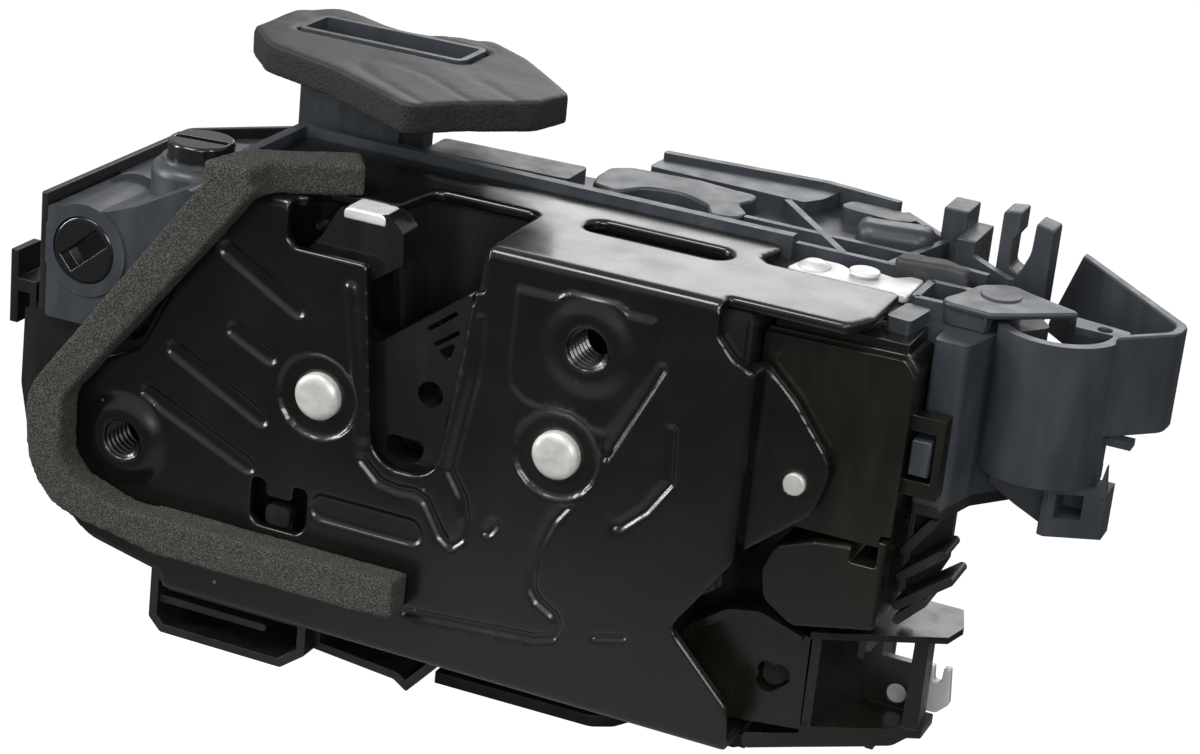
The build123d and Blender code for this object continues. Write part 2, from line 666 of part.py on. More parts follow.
def motor_worm():
    """Motor shaft with its worm; the thread is a stack of leaning rings."""
    start = motor_start + motor_length
    body = Pos(start + 9, motor_y, motor_z) * Rot(0, 90, 0) * Cylinder(1.0, 22)
    body += Pos(start + 12, motor_y, motor_z) * Rot(0, 90, 0) * Cylinder(worm_root, worm_length)
    for turn in range(6):
        flank = Pos(start + 6.2 + turn * 2.1, motor_y, motor_z) * Rot(0, 90, 0) * Rot(5, 0, 0)
        body += flank * Pos(0, 0, 0.4) * Cone(worm_tip, worm_root, 0.8)
        body += flank * Pos(0, 0, -0.4) * Cone(worm_root, worm_tip, 0.8)
    return body


def worm_wheel():
    root = wheel_tip - 1.2
    body = post_z(*wheel_centre, root, wheel_low, wheel_low + 5)
    tooth = outline((0, -0.62, 0), (1.5, -0.3, 0), (1.5, 0.3, 0), (0, 0.62, 0))
    for index in range(wheel_teeth):
        angle = 360 / wheel_teeth * index
        here = Pos(*wheel_centre) * Rot(0, 0, angle) * Pos(root - 0.3, 0)
        body += here * slab_xy(tooth, wheel_low, wheel_low + 5)
    body += post_z(*wheel_centre, 3.4, wheel_low, wheel_low + 8)
    body += post_z(wheel_centre[0] + 5.2, wheel_centre[1], 1.6, wheel_low - 2.4, wheel_low)
    body -= post_z(*wheel_centre, shaft_radius + pivot_fit, wheel_low - 5, wheel_low + 20)
    return body


def wheel_shaft():
    top = 6.0 - shell + 1.0
    return post_z(*wheel_centre, shaft_radius, housing_floor - 0.5, top)


def lock_lever():
    """Lever that the wheel's crank pin nudges between locked and unlocked."""
    x, y = lever_pivot_inner
    arm = outline((x - 15.6, y - 6, 1.5), (x - 12.5, y - 7, 1.5), (x - 1, y - 4.5, 3), (x + 14, y - 2, 2),
                  (x + 15, y + 1.5, 2), (x + 2, y + 4.6, 3), (x - 4, y + 4, 3))
    body = slab_xy(arm, lock_lever_low, lock_lever_low + 2)
    body += post_z(x, y, 3.6, lock_lever_low, lock_lever_low + 6)
    body -= post_z(x, y, shaft_radius + pivot_fit, lock_lever_low - 2, lock_lever_low + 12)
    return body


def lock_lever_pin():
    return post_z(*lever_pivot_inner, shaft_radius, housing_floor - 0.5, 5.0)


def lock_switch():
    """Micro-switch that reads the lock lever."""
    body = block(24, 36.8, 46.0, 52.0, -12, -5.5)
    body += block(26, 35, 44.4, 46.0, -9.6, -7.6)
    body += block(24, 36.8, 47.0, 51.0, housing_floor, -12)
    return body


# ---- left-hand housing with its rotors ---------------------------------------------------------

def left_housing():
    x, z = front_rotor
    face = outline(
        (-101.5, -18.6, 0.5), (-101.5, 1.6, 1), (-90.0, 2.6, 2), (-84.0, 5.0, 2), (-74.4, 10.2, 1.5),
        (-72.8, 9.2, 1), (-85.0, -18.6, 0.5))
    body = slab_xz(face, 0.3, box_depth)
    plan = outline(
        (-101.5, box_depth - 1, 0), (-72.8, box_depth - 1, 0), (-72.8, 62.0, 1),
        (-87.5, 62.0, 2), (-101.5, 48.0, 2))
    body += slab_xy(plan, housing_floor, 1.6)
    body += slab_xy(outline((-86, 14, 1), (-72.8, 12, 1), (-72.8, 40, 1), (-90, 40, 4)), 0, 6.0)
    # horizontal rotor tube
    body += post_y(x, z, 8.2, 0.0, 20.0)
    body += post_y(x, z, 9.2, 17.5, 19.5)
    body -= post_y(x, z, front_rotor_radius + rotor_fit, -1, 6.0)
    body -= post_y(x, z, rotor_stem + rotor_fit, 5, 14.0)
    # upright turret
    tx, ty = top_rotor
    turret = post_z(tx, ty, 8.4, 0, 9.8)
    turret = fillet(turret.edges().sort_by(Axis.Z)[-1], 2.0)
    body += turret
    body += post_z(tx, ty, top_rotor_radius + 0.9, 0, 10.4)
    body -= post_z(tx, ty, top_rotor_radius + rotor_fit, top_rotor_face - 5.0, 16)
    body -= post_z(tx, ty, rotor_stem + rotor_fit, 1.0, 12)
    # keep clear of the black box and of the splash wall
    body -= slab_xz(box_outline(), -1, box_depth)
    body -= block(-120, -101.6, -2, 70, -30, 20)
    return body


def left_wall():
    """Thin black splash wall round the back of the left-hand housing."""
    plan = outline((-102.9, 0.3, 0), (-101.6, 0.3, 0), (-101.6, 48.0, 2.0), (-87.6, 62.1, 2.0), (-73.0, 62.1, 0),
                   (-73.0, 63.5, 0), (-88.2, 63.5, 3.0), (-102.9, 48.6, 3.0))
    return slab_xy(plan, housing_floor, 3.6)


def clip_tab():
    """Snap tab on the left flank."""
    body = block(-107.2, -102.9, 7.0, 12.0, -18.4, -15.0)
    body += block(-112.4, -107.0, 6.0, 13.0, -24.0, -15.6)
    body += block(-112.4, -110.9, 6.0, 13.0, -16.0, -10.5)
    body -= block(-110.8, -108.4, 5, 14, -24.5, -18.0)
    return body


def slotted_rotor(radius, length, slot, depth):
    """Round plug with a screwdriver slot in its face; the face is at z=0."""
    body = Pos(0, 0, -length / 2) * Cylinder(radius, length)
    body = chamfer(body.edges().sort_by(Axis.Z)[-1], 0.4)
    body -= Pos(0, 0, -depth / 2) * Box(slot[0], slot[1], depth)
    return body + Pos(0, 0, -length - 3.5) * Cylinder(rotor_stem, 7.0)


def front_rotor_plug():
    plug = slotted_rotor(front_rotor_radius, 5.6, (9.0, 3.4), 2.6)
    x, z = front_rotor
    return Pos(x, 0.0, z) * Rot(0, -40, 0) * Rot(90, 0, 0) * plug


def top_rotor_plug():
    plug = slotted_rotor(top_rotor_radius, 4.7, (9.4, 1.8), 1.6)
    return Pos(*top_rotor, top_rotor_face) * Rot(0, 0, 8) * plug


# ---- connector -----------------------------------------------------------------------------------

def connector_tower():
    cx, cy = shroud_centre
    length, width = shroud_size
    pad_low = pad_top - pad_thickness
    body = block(-77.0, -57.0, cy - 7.0, cy + 7.0, 1.6, pad_low - 3)
    body += block(cx - length / 2 - 1, cx + length / 2 + 1, cy - width / 2 - 1.4, cy + width / 2 + 1.4,
                  pad_low - 3, pad_low)
    outer = Pos(cx, cy) * RectangleRounded(length, width, 2.0)
    body += slab_xy(outer, pad_low, shroud_top)
    body -= slab_xy(offset(outer, -shroud_wall), pad_low - 1.8, shroud_top + 1)
    body -= block(-75.4, -58.6, cy - 4.3, cy + 4.3, 8.0, shroud_top)
    body += block(-57.2, -52.0, cy - 5.0, cy - 3.4, 1.6, pad_low - 2)
    return body - block(-72.8, -40, 30, 70, -5, 6.0)


def connector_pins():
    cx, cy = shroud_centre
    pins = []
    for row in (-2.0, 2.0):
        for column in range(5):
            pins.append(Pos(-73.0 + column * pin_pitch, cy + row, 15.0) * Box(pin_side, pin_side, 14.0))
    return Compound(children=pins)


def connector_gasket():
    """Foam gasket round the connector shroud."""
    face = outline(
        (-86.4, 41.0, 3), (-86.0, 56.6, 3), (-80.0, 63.0, 4), (-63.3, 56.6, 6), (-54.9, 60.0, 5),
        (-48.6, 62.0, 4), (-39.4, 55.8, 6), (-24.2, 40.4, 2.5), (-26.4, 31.6, 3), (-36.4, 22.6, 5),
        (-42.6, 14.6, 2.5), (-62.0, 26.0, 5), (-78.5, 32.0, 5))
    cx, cy = shroud_centre
    hole = Pos(cx, cy) * RectangleRounded(shroud_size[0] + 2 * seat_gap, shroud_size[1] + 2 * seat_gap, 2.0)
    return slab_xy(face - hole, pad_top - pad_thickness, pad_top)


# ---- foam strip ------------------------------------------------------------------------------------

def seal_strip():
    """Closed-cell strip stuck round the left edge of the plate and over onto the flange."""
    outer = outline(
        (-28.6, -54.4, 0), (-74.0, -54.8, 14), (-99.6, -50.5, 14), (-101.6, -31.0, 12), (-70.0, 12.0, 4),
        (-64.5, 18.2, 0), (-58.8, 14.4, 0), (-64.6, 6.8, 3), (-93.8, -30.5, 6), (-94.0, -44.0, 7),
        (-82.0, -47.9, 7), (-28.6, -47.4, 0))
    body = slab_xz(outer, -strip_thickness, 0)
    front = flange_top
    lap = outline((-68.6, -strip_thickness, 0), (-60.0, -strip_thickness, 0), (-58.8, 1.0, 3), (-46.4, 9.4, 0),
                  (-50.4, 15.4, 0), (-66.5, 4.6, 3))
    body += slab_xy(lap, front, front + strip_thickness)
    keep = outline((-110, -60, 0), (-110, 10, 0), (-72, 18.1, 0), (-60, 18.1, 0), (-40, 18.1, 0), (-20, -60, 0))
    body &= slab_xz(keep, -10, 30)
    return body


# ---- right-hand covers ---------------------------------------------------------------------------------

def side_cover():
    front = ear_face + sheet + 0.4
    face = outline(
        (26.2, 6.8, 0.5), (49.6, 7.2, 2.5), (51.4, 4.6, 1), (51.2, -22.4, 0.5), (49.4, -22.6, 0.3),
        (49.4, -24.6, 0.3), (45.2, -24.6, 0.3), (26.2, -24.6, 0))
    body = slab_xz(face, front, 20.0)
    body -= slab_xz(offset(face, -1.6), front + 1.6, 21.0)
    body += block(27.0, 49.0, front + 2.6, 20.0, 6.2, 9.0)
    # clip loop on the right edge
    for high in (-1.7, -12.6):
        body += block(51.0, 57.0, 9.0, 12.4, high - 2.6, high)
    body += block(55.6, 57.0, 9.0, 12.4, -15.2, -1.7)
    return body - post_y(*ear_rivet, ear_rivet_radius, 0, 20)


def latch_wedge():
    """Snap wedge of the drive housing inside the cover's clip loop."""
    section = outline((51.9, 8.6, 0), (55.2, 8.6, 0.4), (55.2, 13.0, 0), (51.9, 13.0, 0))
    return slab_xy(section, -11.6, -5.6)


def dome_cover():
    """Bulged cover over the release lever's root."""
    face = outline(
        (30.6, -33.0, 3), (32.4, -28.4, 3), (39.0, -25.9, 3), (45.2, -25.2, 0), (45.2, -27.8, 0.5),
        (49.6, -27.8, 0.5), (49.6, -23.2, 0), (50.9, -23.2, 0), (50.8, -38.6, 1), (46.8, -39.4, 1),
        (36.8, -41.6, 3), (31.6, -38.2, 3))
    body = slab_xz(face, 6.4, 20.0)
    rim = body.faces().sort_by(Axis.Y)[0].edges().filter_by(lambda edge: edge.center().X < 45)
    return chamfer(rim, 0.4)


def lower_cover():
    face = outline(
        (17.0, -49.4, 2), (20.6, -45.6, 4), (26.0, -41.6, 4), (31.6, -40.6, 4), (36.6, -42.2, 2), (40.2, -43.4, 0.5),
        (40.4, -60.0, 0.5), (28.4, -61.4, 1), (17.0, -61.4, 1))
    body = slab_xz(face, 8.0, 11.0)
    lip = slab_xz(face, 6.8, 8.0) - slab_xz(offset(face, -1.4), 6, 9)
    lip &= slab_xz(outline((10, -50, 0), (10, -36, 0), (40, -36, 0), (39, -44, 0), (24, -52, 0)), 5, 9)
    body += lip
    kidney = bar((33.9, -53.0), (35.8, -51.4), 3.8) + Pos(33.5, -51.0) * Circle(1.5)
    return body - slab_xz(kidney, 5, 12)


def frame_box():
    """Open-sided frame beside the lower cover, with the rail that runs under it."""
    high, low = -42.8, -60.4
    back = box_depth - 0.2
    plan = outline((40.6, 7.0, 0), (58.5, 17.0, 0.5), (58.5, back, 0.5), (40.6, back, 0))
    shelf = outline((40.6, 6.4, 0), (60.4, 17.8, 0.3), (61.5, 22.8, 0.3), (59.4, 29.6, 0.5), (46.8, 29.6, 0),
                    (46.8, back, 0), (40.6, back, 0))
    body = slab_xy(shelf, high, high + 1.2)
    body += slab_xy(plan, low, low + 1.6)
    body += block(40.6, 42.2, 7.9, back, low, high)
    body += block(41.0, 48.6, back - 1.6, back, low, high)
    body += block(48.0, 54.4, back - 1.6, back, low, -50.0)
    body += block(47.4, 48.6, 11.4, back - 0.8, high - 3.4, high)
    rail = outline((30.6, -63.8, 0.5), (30.8, -66.6, 1), (54.2, -62.4, 2.5), (57.8, -59.4, 2.5), (57.6, high, 0),
                   (55.4, high, 0), (55.2, -58.4, 1.5), (53.4, -60.2, 1.5))
    depth = outline((30, 8.2, 0), (58.6, 17.0, 0), (58.6, 21.0, 0), (30, 17.0, 0))
    body += slab_xz(rail, 5, 24) & slab_xy(depth, -70, high)
    for x in (44.0, 50.0):
        body += block(x, x + 1.4, 14.5, 18.5, -63.5, low + 0.5)
    return body - post_y(*inner_pivot, inner_pin_radius, 20, 30)


def cable_fins():
    """Slanting fins that hold the release cable."""
    back = outline((51.4, housing_floor - shell, 0), (57.8, housing_floor - shell, 0), (57.8, -29.2, 0.5),
                   (55.6, -34.4, 0.5), (53.4, -39.6, 0.3), (51.4, -39.6, 0.3))
    body = slab_xz(back, 19.8, 21.4)
    lines = (((52.2, -26.4), (56.0, -20.9)), ((52.2, -31.0), (58.4, -25.6)), ((52.2, -36.2), (60.2, -29.8)),
             ((52.6, -38.6), (56.4, -34.6)))
    for start, end in lines:
        body += slab_xz(bar(start, end, 1.5), 13.0, 20.4)
    return body


# ---- lower lock housing and skirts ---------------------------------------------------------------------

def lock_face():
    return outline(
        (-92.0, housing_floor - shell, 3), (-96.0, -46.0, 8), (-80.4, sole, 3), (27.6, sole, 1), (46.4, -68.4, 1),
        (46.4, housing_floor - shell, 1))


def lock_housing():
    """Black lower housing behind the mechanism box; its flat foot is the lowest face."""
    body = slab_xz(lock_face(), box_depth, lock_back)
    body -= slab_xz(offset(lock_face(), -shell), box_depth + shell, lock_back + 1)
    for x in (-70, -30, 10, 34):
        low = -60 if x < 30 else -50
        body += block(x, x + 1.6, box_depth, lock_back, low, housing_floor - shell)
    return body


def lock_back_cover():
    body = slab_xz(lock_face(), lock_back, lock_back + shell)
    for x, z in ((-84, -28), (-74, -66), (14, -67), (40, -28)):
        body += post_y(x, z, 3.6, lock_back, lock_back + shell + 1.2)
    return body


def skirt_tray(corners, front, back, wall=1.6):
    """Drip tray, open towards the front."""
    face = outline(*corners)
    tray = slab_xz(face, front, back)
    inner = offset(face, -wall, kind=Kind.INTERSECTION)
    return tray - slab_xz(inner, front - 1, back - wall)


def lower_skirt():
    """Two drip trays below the left half of the plate, moulded together."""
    under = plate_bottom - 0.2
    body = skirt_tray(((-80.2, -61.2, 0), (-80.4, -72.0, 1), (-78.0, sole, 1), (-53.6, sole, 1), (-49.0, -71.0, 0.5),
                       (-49.0, under, 0), (-76.0, under, 0)), 4.0, box_depth)
    body += slab_xz(bar((-79.6, -68.4), (-58.0, -68.4), 1.4), 5.0, box_depth)
    body += skirt_tray(((-50.0, under, 0), (-50.0, -71.4, 1), (-33.6, -72.8, 0.5), (-31.0, sole, 0.5),
                        (-22.0, under, 0)), 8.4, box_depth)
    return body


def drip_sill():
    """Low sill along the foot of the lock housing, with a second short pad at its right."""
    back = box_depth
    long_plan = outline(
        (-28.4, back - 9.8, 0.3), (1.4, back - 9.2, 3), (4.8, back - 7, 3), (8.6, back, 0), (-28.4, back, 0))
    short_plan = outline((11.8, back - 2.5, 0.6), (25.2, back - 2.2, 0.6), (27.0, back, 0), (11.0, back, 0))
    body = slab_xy(long_plan, sole, sole + 2.2) + slab_xy(short_plan, sole, sole + 2.4)
    return body + block(-28.4, 27.0, back - 1.4, back, sole, sole + 2.2)


# ---- right-hand cable guide ---------------------------------------------------------------------------------



def cable_guide():
    """Half-round pocket wall at the right end of the drive housing."""
    ring = Pos(*guide_centre) * (Circle(guide_radius) - Circle(guide_radius - guide_wall))
    half = ring & outline((50, 10, 0), (90, 10, 0), (90, 28.5, 0), (66.2, 28.5, 0), (59.0, 22.4, 0), (50, 22.4, 0))
    body = slab_xy(half - housing_plan(), guide_bottom, guide_top)
    floor = (Pos(*guide_centre) * Circle(guide_radius)) & outline(
        (50, 10, 0), (90, 10, 0), (90, 36, 0), (67.2, 36, 0), (66.4, 30.8, 0), (60.0, 22.4, 0))
    body += slab_xy(floor - housing_plan(), guide_bottom, guide_bottom + 2)
    return body + block(77.0, 82.4, 27.0, 30.0, -6.2, -5.0)


def guard_band():
    """Thin wall that loops round the cable exit."""
    path = outline((77.6, 24.6, 0), (85.8, 33.2, 3.5), (86.3, 38.2, 3.5), (60.6, 66.4, 0),
                   (59.4, 65.3, 0), (84.4, 37.4, 2.5), (84.2, 33.8, 2.5), (77.6, 26.8, 0))
    body = slab_xy(path, -4.4, rim_top - 1.5)
    lead = outline((50, rim_top, 0), (64.6, rim_top, 0), (62.2, 6.0, 0), (56, -6.0, 0), (50, -6.0, 0))
    body -= slab_xz(lead, 40, 80)
    return body - post_z(*guide_centre, guide_radius, -10, rim_top)


def hood():
    """Cap over the cable pocket, with a moulded ring on top."""
    body = slab_xy(hood_face(), housing_skin, hood_top)
    ring = Pos(56.4, 34.6) * (Circle(4.3) - Circle(3.6))
    return body + slab_xy(ring, hood_top, hood_top + 0.4)


def guide_tab():
    face = outline((66.6, 30.6, 0), (78.2, 30.6, 1), (78.2, 34.0, 1), (65.0, 36.0, 0))
    body = slab_xy(face, 9.4, 10.8) - post_z(74.2, 32.3, 1.2, 8, 12)
    return body - slab_xy(hood_face(), 9, 12)


def slotted_bracket():
    """Bracket under the guide with a rectangular band slot."""
    plan = outline((71.2, 19.8, 0.4), (72.4, 19.4, 0.4), (80.8, 23.6, 0.4), (80.8, 28.0, 0), (71.2, 28.0, 0))
    body = slab_xy(plan, -20.8, guide_bottom)
    body -= block(73.4, 77.4, 18.0, 26.4, -17.6, -13.4)
    web = outline((61.6, -15.6, 0), (66.0, -18.2, 0), (71.6, -20.8, 0), (71.6, guide_bottom, 0), (61.6, guide_bottom, 0))
    body += slab_xz(web, 23.4, 24.8)
    for x, y in ((71.2, 20.0), (79.0, 23.0)):
        body += slab_xz(outline((x, guide_bottom - 1, 0), (x + 1.6, guide_bottom - 1, 0), (x + 1.0, -8.0, 0)), y, y + 1.4)
    return body - slab_xy(Pos(*guide_centre) * Circle(guide_radius), guide_bottom, 0)


def fork_clip():
    """Prongs on the far edge that hold the cable."""
    body = block(39.4, 43.4, 55.0, 62.4, -2.0, 17.6) + block(43.2, 46.6, 50.0, 61.0, -2.0, 16.2)
    body += block(50.4, 53.2, 53.4, 57.6, 2.0, 20.6) + block(56.0, 59.2, 51.4, 55.6, 2.0, 19.0)
    body += block(50.4, 59.2, 52.0, 55.6, 2.0, 10.6)
    body += block(45.0, 54.0, 50.0, 58.0, -2.0, 3.6)
    return body - slab_xy(housing_plan(), housing_floor - shell, rim_top + 6)


# ---- release lever on top ---------------------------------------------------------------------------------



def release_lever():
    near = box_depth + lever_swing + seat_gap
    face = outline(
        (22.4, near + 0.8, 1), (24.4, 31.4, 2), (30.0, 33.2, 2), (33.0, 31.4, 0), (36.0, 33.6, 2), (41.0, 32.8, 0),
        (43.4, 34.2, 0.5), (44.4, 30.8, 1), (41.8, 28.6, 1), (43.0, near, 1), (24.0, near, 1))
    top = lever_low + lever_sheet
    body = slab_xy(face, lever_low, top) + block(42.0, 43.6, 30.6, 33.4, lever_low, top + 2.6)
    return body - post_z(*lever_pin_place, lever_pin_radius + pivot_fit, 0, 20)


def lever_pin():
    x, y = lever_pin_place
    top = lever_low + lever_sheet + seat_gap
    body = post_z(x, y, lever_pin_radius, housing_skin - 3, top)
    return body + post_z(x, y, lever_pin_radius + 0.7, top, top + 0.7)


def rubber_stop():
    return slab_xy(stop_face(), housing_skin, rim_top - 0.2)


def inner_lever():
    """Inner release lever; its notched end takes the cable nipple."""
    arm = outline(
        (48.6, -59.4, 2), (58.6, -58.8, 1), (60.6, -56.8, 1), (60.0, -50.4, 0.3), (58.9, -50.4, 0.3),
        (58.7, -53.2, 0.6), (57.4, -53.2, 0.6), (57.2, -50.6, 0.3), (56.2, -50.6, 0.3), (55.4, -52.6, 1), (48.6, -53.0, 2))
    front = box_depth + 0.2
    body = slab_xz(arm, front, front + lever_sheet)
    return body - post_y(*inner_pivot, inner_pin_radius + pivot_fit, box_depth - 4, box_depth + 16)


def inner_lever_pin():
    behind = box_depth + lever_sheet + seat_gap + 0.2
    body = post_y(*inner_pivot, inner_pin_radius, box_depth - 1.8, behind)
    return body + post_y(*inner_pivot, inner_pin_radius + 1.2, behind, behind + 0.9)


nodes = {
    "latch_plate": latch_plate,
    "backing_plate": backing_plate,
    "catch_rivet": lambda: pivot_rivet(catch_pivot),
    "pawl_rivet": lambda: pivot_rivet(pawl_pivot),
    "ear_rivet": ear_rivet_pin,
    "catch_core": catch_core,
    "catch_jacket": catch_jacket,
    "pawl_core": pawl_core,
    "pawl_lever": pawl_lever,
    "catch_spring": catch_spring,
    "pawl_spring": pawl_spring,
    "mechanism_box": mechanism_box,
    "striker_buffer": striker_buffer,
    "main_housing": main_housing,
    "housing_cover": housing_cover,
    "cover_screws": cover_screws,
    "motor_can": motor_can,
    "motor_cradle": motor_cradle,
    "motor_worm": motor_worm,
    "worm_wheel": worm_wheel,
    "wheel_shaft": wheel_shaft,
    "lock_lever": lock_lever,
    "lock_lever_pin": lock_lever_pin,
    "lock_switch": lock_switch,
    "left_housing": left_housing,
    "left_wall": left_wall,
    "clip_tab": clip_tab,
    "front_rotor": front_rotor_plug,
    "top_rotor": top_rotor_plug,
    "connector_tower": connector_tower,
    "connector_pins": connector_pins,
    "connector_gasket": connector_gasket,
    "seal_strip": seal_strip,
    "side_cover": side_cover,
    "latch_wedge": latch_wedge,
    "dome_cover": dome_cover,
    "lower_cover": lower_cover,
    "frame_box": frame_box,
    "cable_fins": cable_fins,
    "lock_housing": lock_housing,
    "lock_back_cover": lock_back_cover,
    "lower_skirt": lower_skirt,
    "drip_sill": drip_sill,
    "cable_guide": cable_guide,
    "guard_band": guard_band,
    "hood": hood,
    "guide_tab": guide_tab,
    "slotted_bracket": slotted_bracket,
    "fork_clip": fork_clip,
    "release_lever": release_lever,
    "lever_pin": lever_pin,
    "rubber_stop": rubber_stop,
    "inner_lever": inner_lever,
    "inner_lever_pin": inner_lever_pin,
}

os.makedirs("parts", exist_ok=True)
for name, make in nodes.items():
    solid = make()
    export_step(solid, "parts/" + name + ".step")
    print(name, "volume", round(solid.volume, 1))
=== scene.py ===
import json
import math
import bpy
import bmesh
import numpy
from mathutils import Matrix, Vector, noise


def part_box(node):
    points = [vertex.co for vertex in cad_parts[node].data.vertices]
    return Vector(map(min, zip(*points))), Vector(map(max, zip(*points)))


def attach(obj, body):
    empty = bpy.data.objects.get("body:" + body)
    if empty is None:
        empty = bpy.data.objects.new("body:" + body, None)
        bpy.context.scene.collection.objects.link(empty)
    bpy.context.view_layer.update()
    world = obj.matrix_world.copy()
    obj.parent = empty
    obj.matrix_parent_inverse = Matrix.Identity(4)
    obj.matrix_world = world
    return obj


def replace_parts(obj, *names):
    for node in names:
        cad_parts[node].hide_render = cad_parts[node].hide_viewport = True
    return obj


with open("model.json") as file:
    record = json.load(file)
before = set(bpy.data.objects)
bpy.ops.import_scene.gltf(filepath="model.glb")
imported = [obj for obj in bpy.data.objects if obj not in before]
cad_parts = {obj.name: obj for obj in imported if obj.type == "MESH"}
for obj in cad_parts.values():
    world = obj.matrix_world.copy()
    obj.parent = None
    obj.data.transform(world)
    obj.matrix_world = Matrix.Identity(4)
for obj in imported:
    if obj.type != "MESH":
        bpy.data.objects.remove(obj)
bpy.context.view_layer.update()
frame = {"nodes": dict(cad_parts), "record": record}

mm = 0.001
bodyOfNode = {}
for bodyName, members in frame["record"]["behaviour"]["bodies"].items():
    for member in members:
        bodyOfNode[member] = bodyName
print("frame loaded with", len(bodyOfNode), "nodes")


def startMaterial(name, look):
    material = bpy.data.materials.new(name)
    material.use_nodes = True
    tree = material.node_tree
    shader = tree.nodes["Principled BSDF"]
    shader.inputs["Base Color"].default_value = (*look["colour"], 1)
    shader.inputs["Roughness"].default_value = look["roughness"]
    shader.inputs["Metallic"].default_value = look.get("metallic", 0)
    shader.inputs["Specular IOR Level"].default_value = look.get("specular", 0.5)
    coords = tree.nodes.new("ShaderNodeTexCoord").outputs["Object"]
    return material, tree, shader, coords


def addNoise(tree, coords, grain, stretch=(1, 1, 1)):
    # grain is the noise's scale and its detail
    mapping = tree.nodes.new("ShaderNodeMapping")
    mapping.inputs["Scale"].default_value = stretch
    tree.links.new(coords, mapping.inputs["Vector"])
    texture = tree.nodes.new("ShaderNodeTexNoise")
    texture.inputs["Scale"].default_value, texture.inputs["Detail"].default_value = grain
    tree.links.new(mapping.outputs["Vector"], texture.inputs["Vector"])
    return texture.outputs["Fac"]


def remap(tree, value, source, target=(0, 1)):
    ranger = tree.nodes.new("ShaderNodeMapRange")
    for socket, number in zip(("From Min", "From Max", "To Min", "To Max"), (*source, *target)):
        ranger.inputs[socket].default_value = number
    tree.links.new(value, ranger.inputs["Value"])
    return ranger.outputs["Result"]


def addCells(tree, coords, scale, source, target=(0, 1)):
    # scattered cells, valued by the distance from their middles
    cells = tree.nodes.new("ShaderNodeTexVoronoi")
    cells.inputs["Scale"].default_value = scale
    tree.links.new(coords, cells.inputs["Vector"])
    return remap(tree, cells.outputs["Distance"], source, target)


def multiply(tree, first, second):
    product = tree.nodes.new("ShaderNodeMath")
    product.operation = "MULTIPLY"
    tree.links.new(first, product.inputs[0])
    tree.links.new(second, product.inputs[1])
    return product.outputs[0]


def mixColours(tree, factor, first, second):
    mixer = tree.nodes.new("ShaderNodeMix")
    mixer.data_type = "RGBA"
    tree.links.new(factor, mixer.inputs["Factor"])
    for socket, colour in ((mixer.inputs["A"], first), (mixer.inputs["B"], second)):
        if isinstance(colour, tuple):
            socket.default_value = (*colour, 1)
        else:
            tree.links.new(colour, socket)
    return mixer.outputs["Result"]


def addBump(tree, shader, height, relief):
    # relief is the bump's distance in metres and its strength
    bump = tree.nodes.new("ShaderNodeBump")
    bump.inputs["Distance"].default_value, bump.inputs["Strength"].default_value = relief
    tree.links.new(height, bump.inputs["Height"])
    tree.links.new(bump.outputs["Normal"], shader.inputs["Normal"])


coatedSteelLook = {
    "colour": (0.0026, 0.0024, 0.0019), "haze": (0.005, 0.0046, 0.0036), "hazeGrain": (38, 4),
    "hazeRange": (0.42, 0.72), "dust": (0.2, 0.19, 0.17), "dustScale": 170, "dustSize": 0.05, "dustFade": 1.4,
    "patchGrain": (60, 2), "patchRange": (0.56, 0.62), "dustShare": 0.7, "roughness": 0.2, "smoother": 0.03,
    "rougher": 0.11, "roughGrain": (120, 5), "roughRange": (0.3, 0.75), "skinGrain": (700, 2),
    "relief": (0.00002, 0.5),
}


def makeCoatedSteel():
    # black dip coat with a thin haze and specks of dust in patches
    look = coatedSteelLook
    material, tree, shader, coords = startMaterial("coatedSteel", look)
    haze = remap(tree, addNoise(tree, coords, look["hazeGrain"]), look["hazeRange"])
    base = mixColours(tree, haze, look["colour"], look["haze"])
    size = look["dustSize"]
    dust = addCells(tree, coords, look["dustScale"], (size, size * look["dustFade"]), (1, 0))
    patches = addNoise(tree, coords, look["patchGrain"])
    spots = multiply(tree, dust, remap(tree, patches, look["patchRange"], (0, look["dustShare"])))
    tree.links.new(mixColours(tree, spots, base, look["dust"]), shader.inputs["Base Color"])
    rough = look["roughness"]
    span = (rough - look["smoother"], rough + look["rougher"])
    smears = addNoise(tree, coords, look["roughGrain"])
    tree.links.new(remap(tree, smears, look["roughRange"], span), shader.inputs["Roughness"])
    addBump(tree, shader, addNoise(tree, coords, look["skinGrain"]), look["relief"])
    return material


plasticLooks = {
    "greyPlastic": {"colour": (0.021, 0.025, 0.030), "worn": (0.052, 0.058, 0.065), "roughness": 0.4,
                    "specular": 0.4, "grain": 1400},
    "blackPlastic": {"colour": (0.0055, 0.0052, 0.005), "worn": (0.022, 0.0205, 0.0185), "roughness": 0.33,
                     "specular": 0.4, "grain": 900},
    "coverPlastic": {"colour": (0.0052, 0.0045, 0.0033), "worn": (0.013, 0.011, 0.0078), "roughness": 0.24,
                     "specular": 0.4, "grain": 600},
    "glossPlastic": {"colour": (0.006, 0.006, 0.006), "worn": (0.014, 0.014, 0.014), "roughness": 0.14,
                     "specular": 0.5, "grain": 400},
    "whitePlastic": {"colour": (0.62, 0.6, 0.54), "worn": (0.7, 0.68, 0.62), "roughness": 0.4, "grain": 900},
    "rubber": {"colour": (0.012, 0.012, 0.012), "worn": (0.03, 0.03, 0.03), "roughness": 0.62, "grain": 900},
}
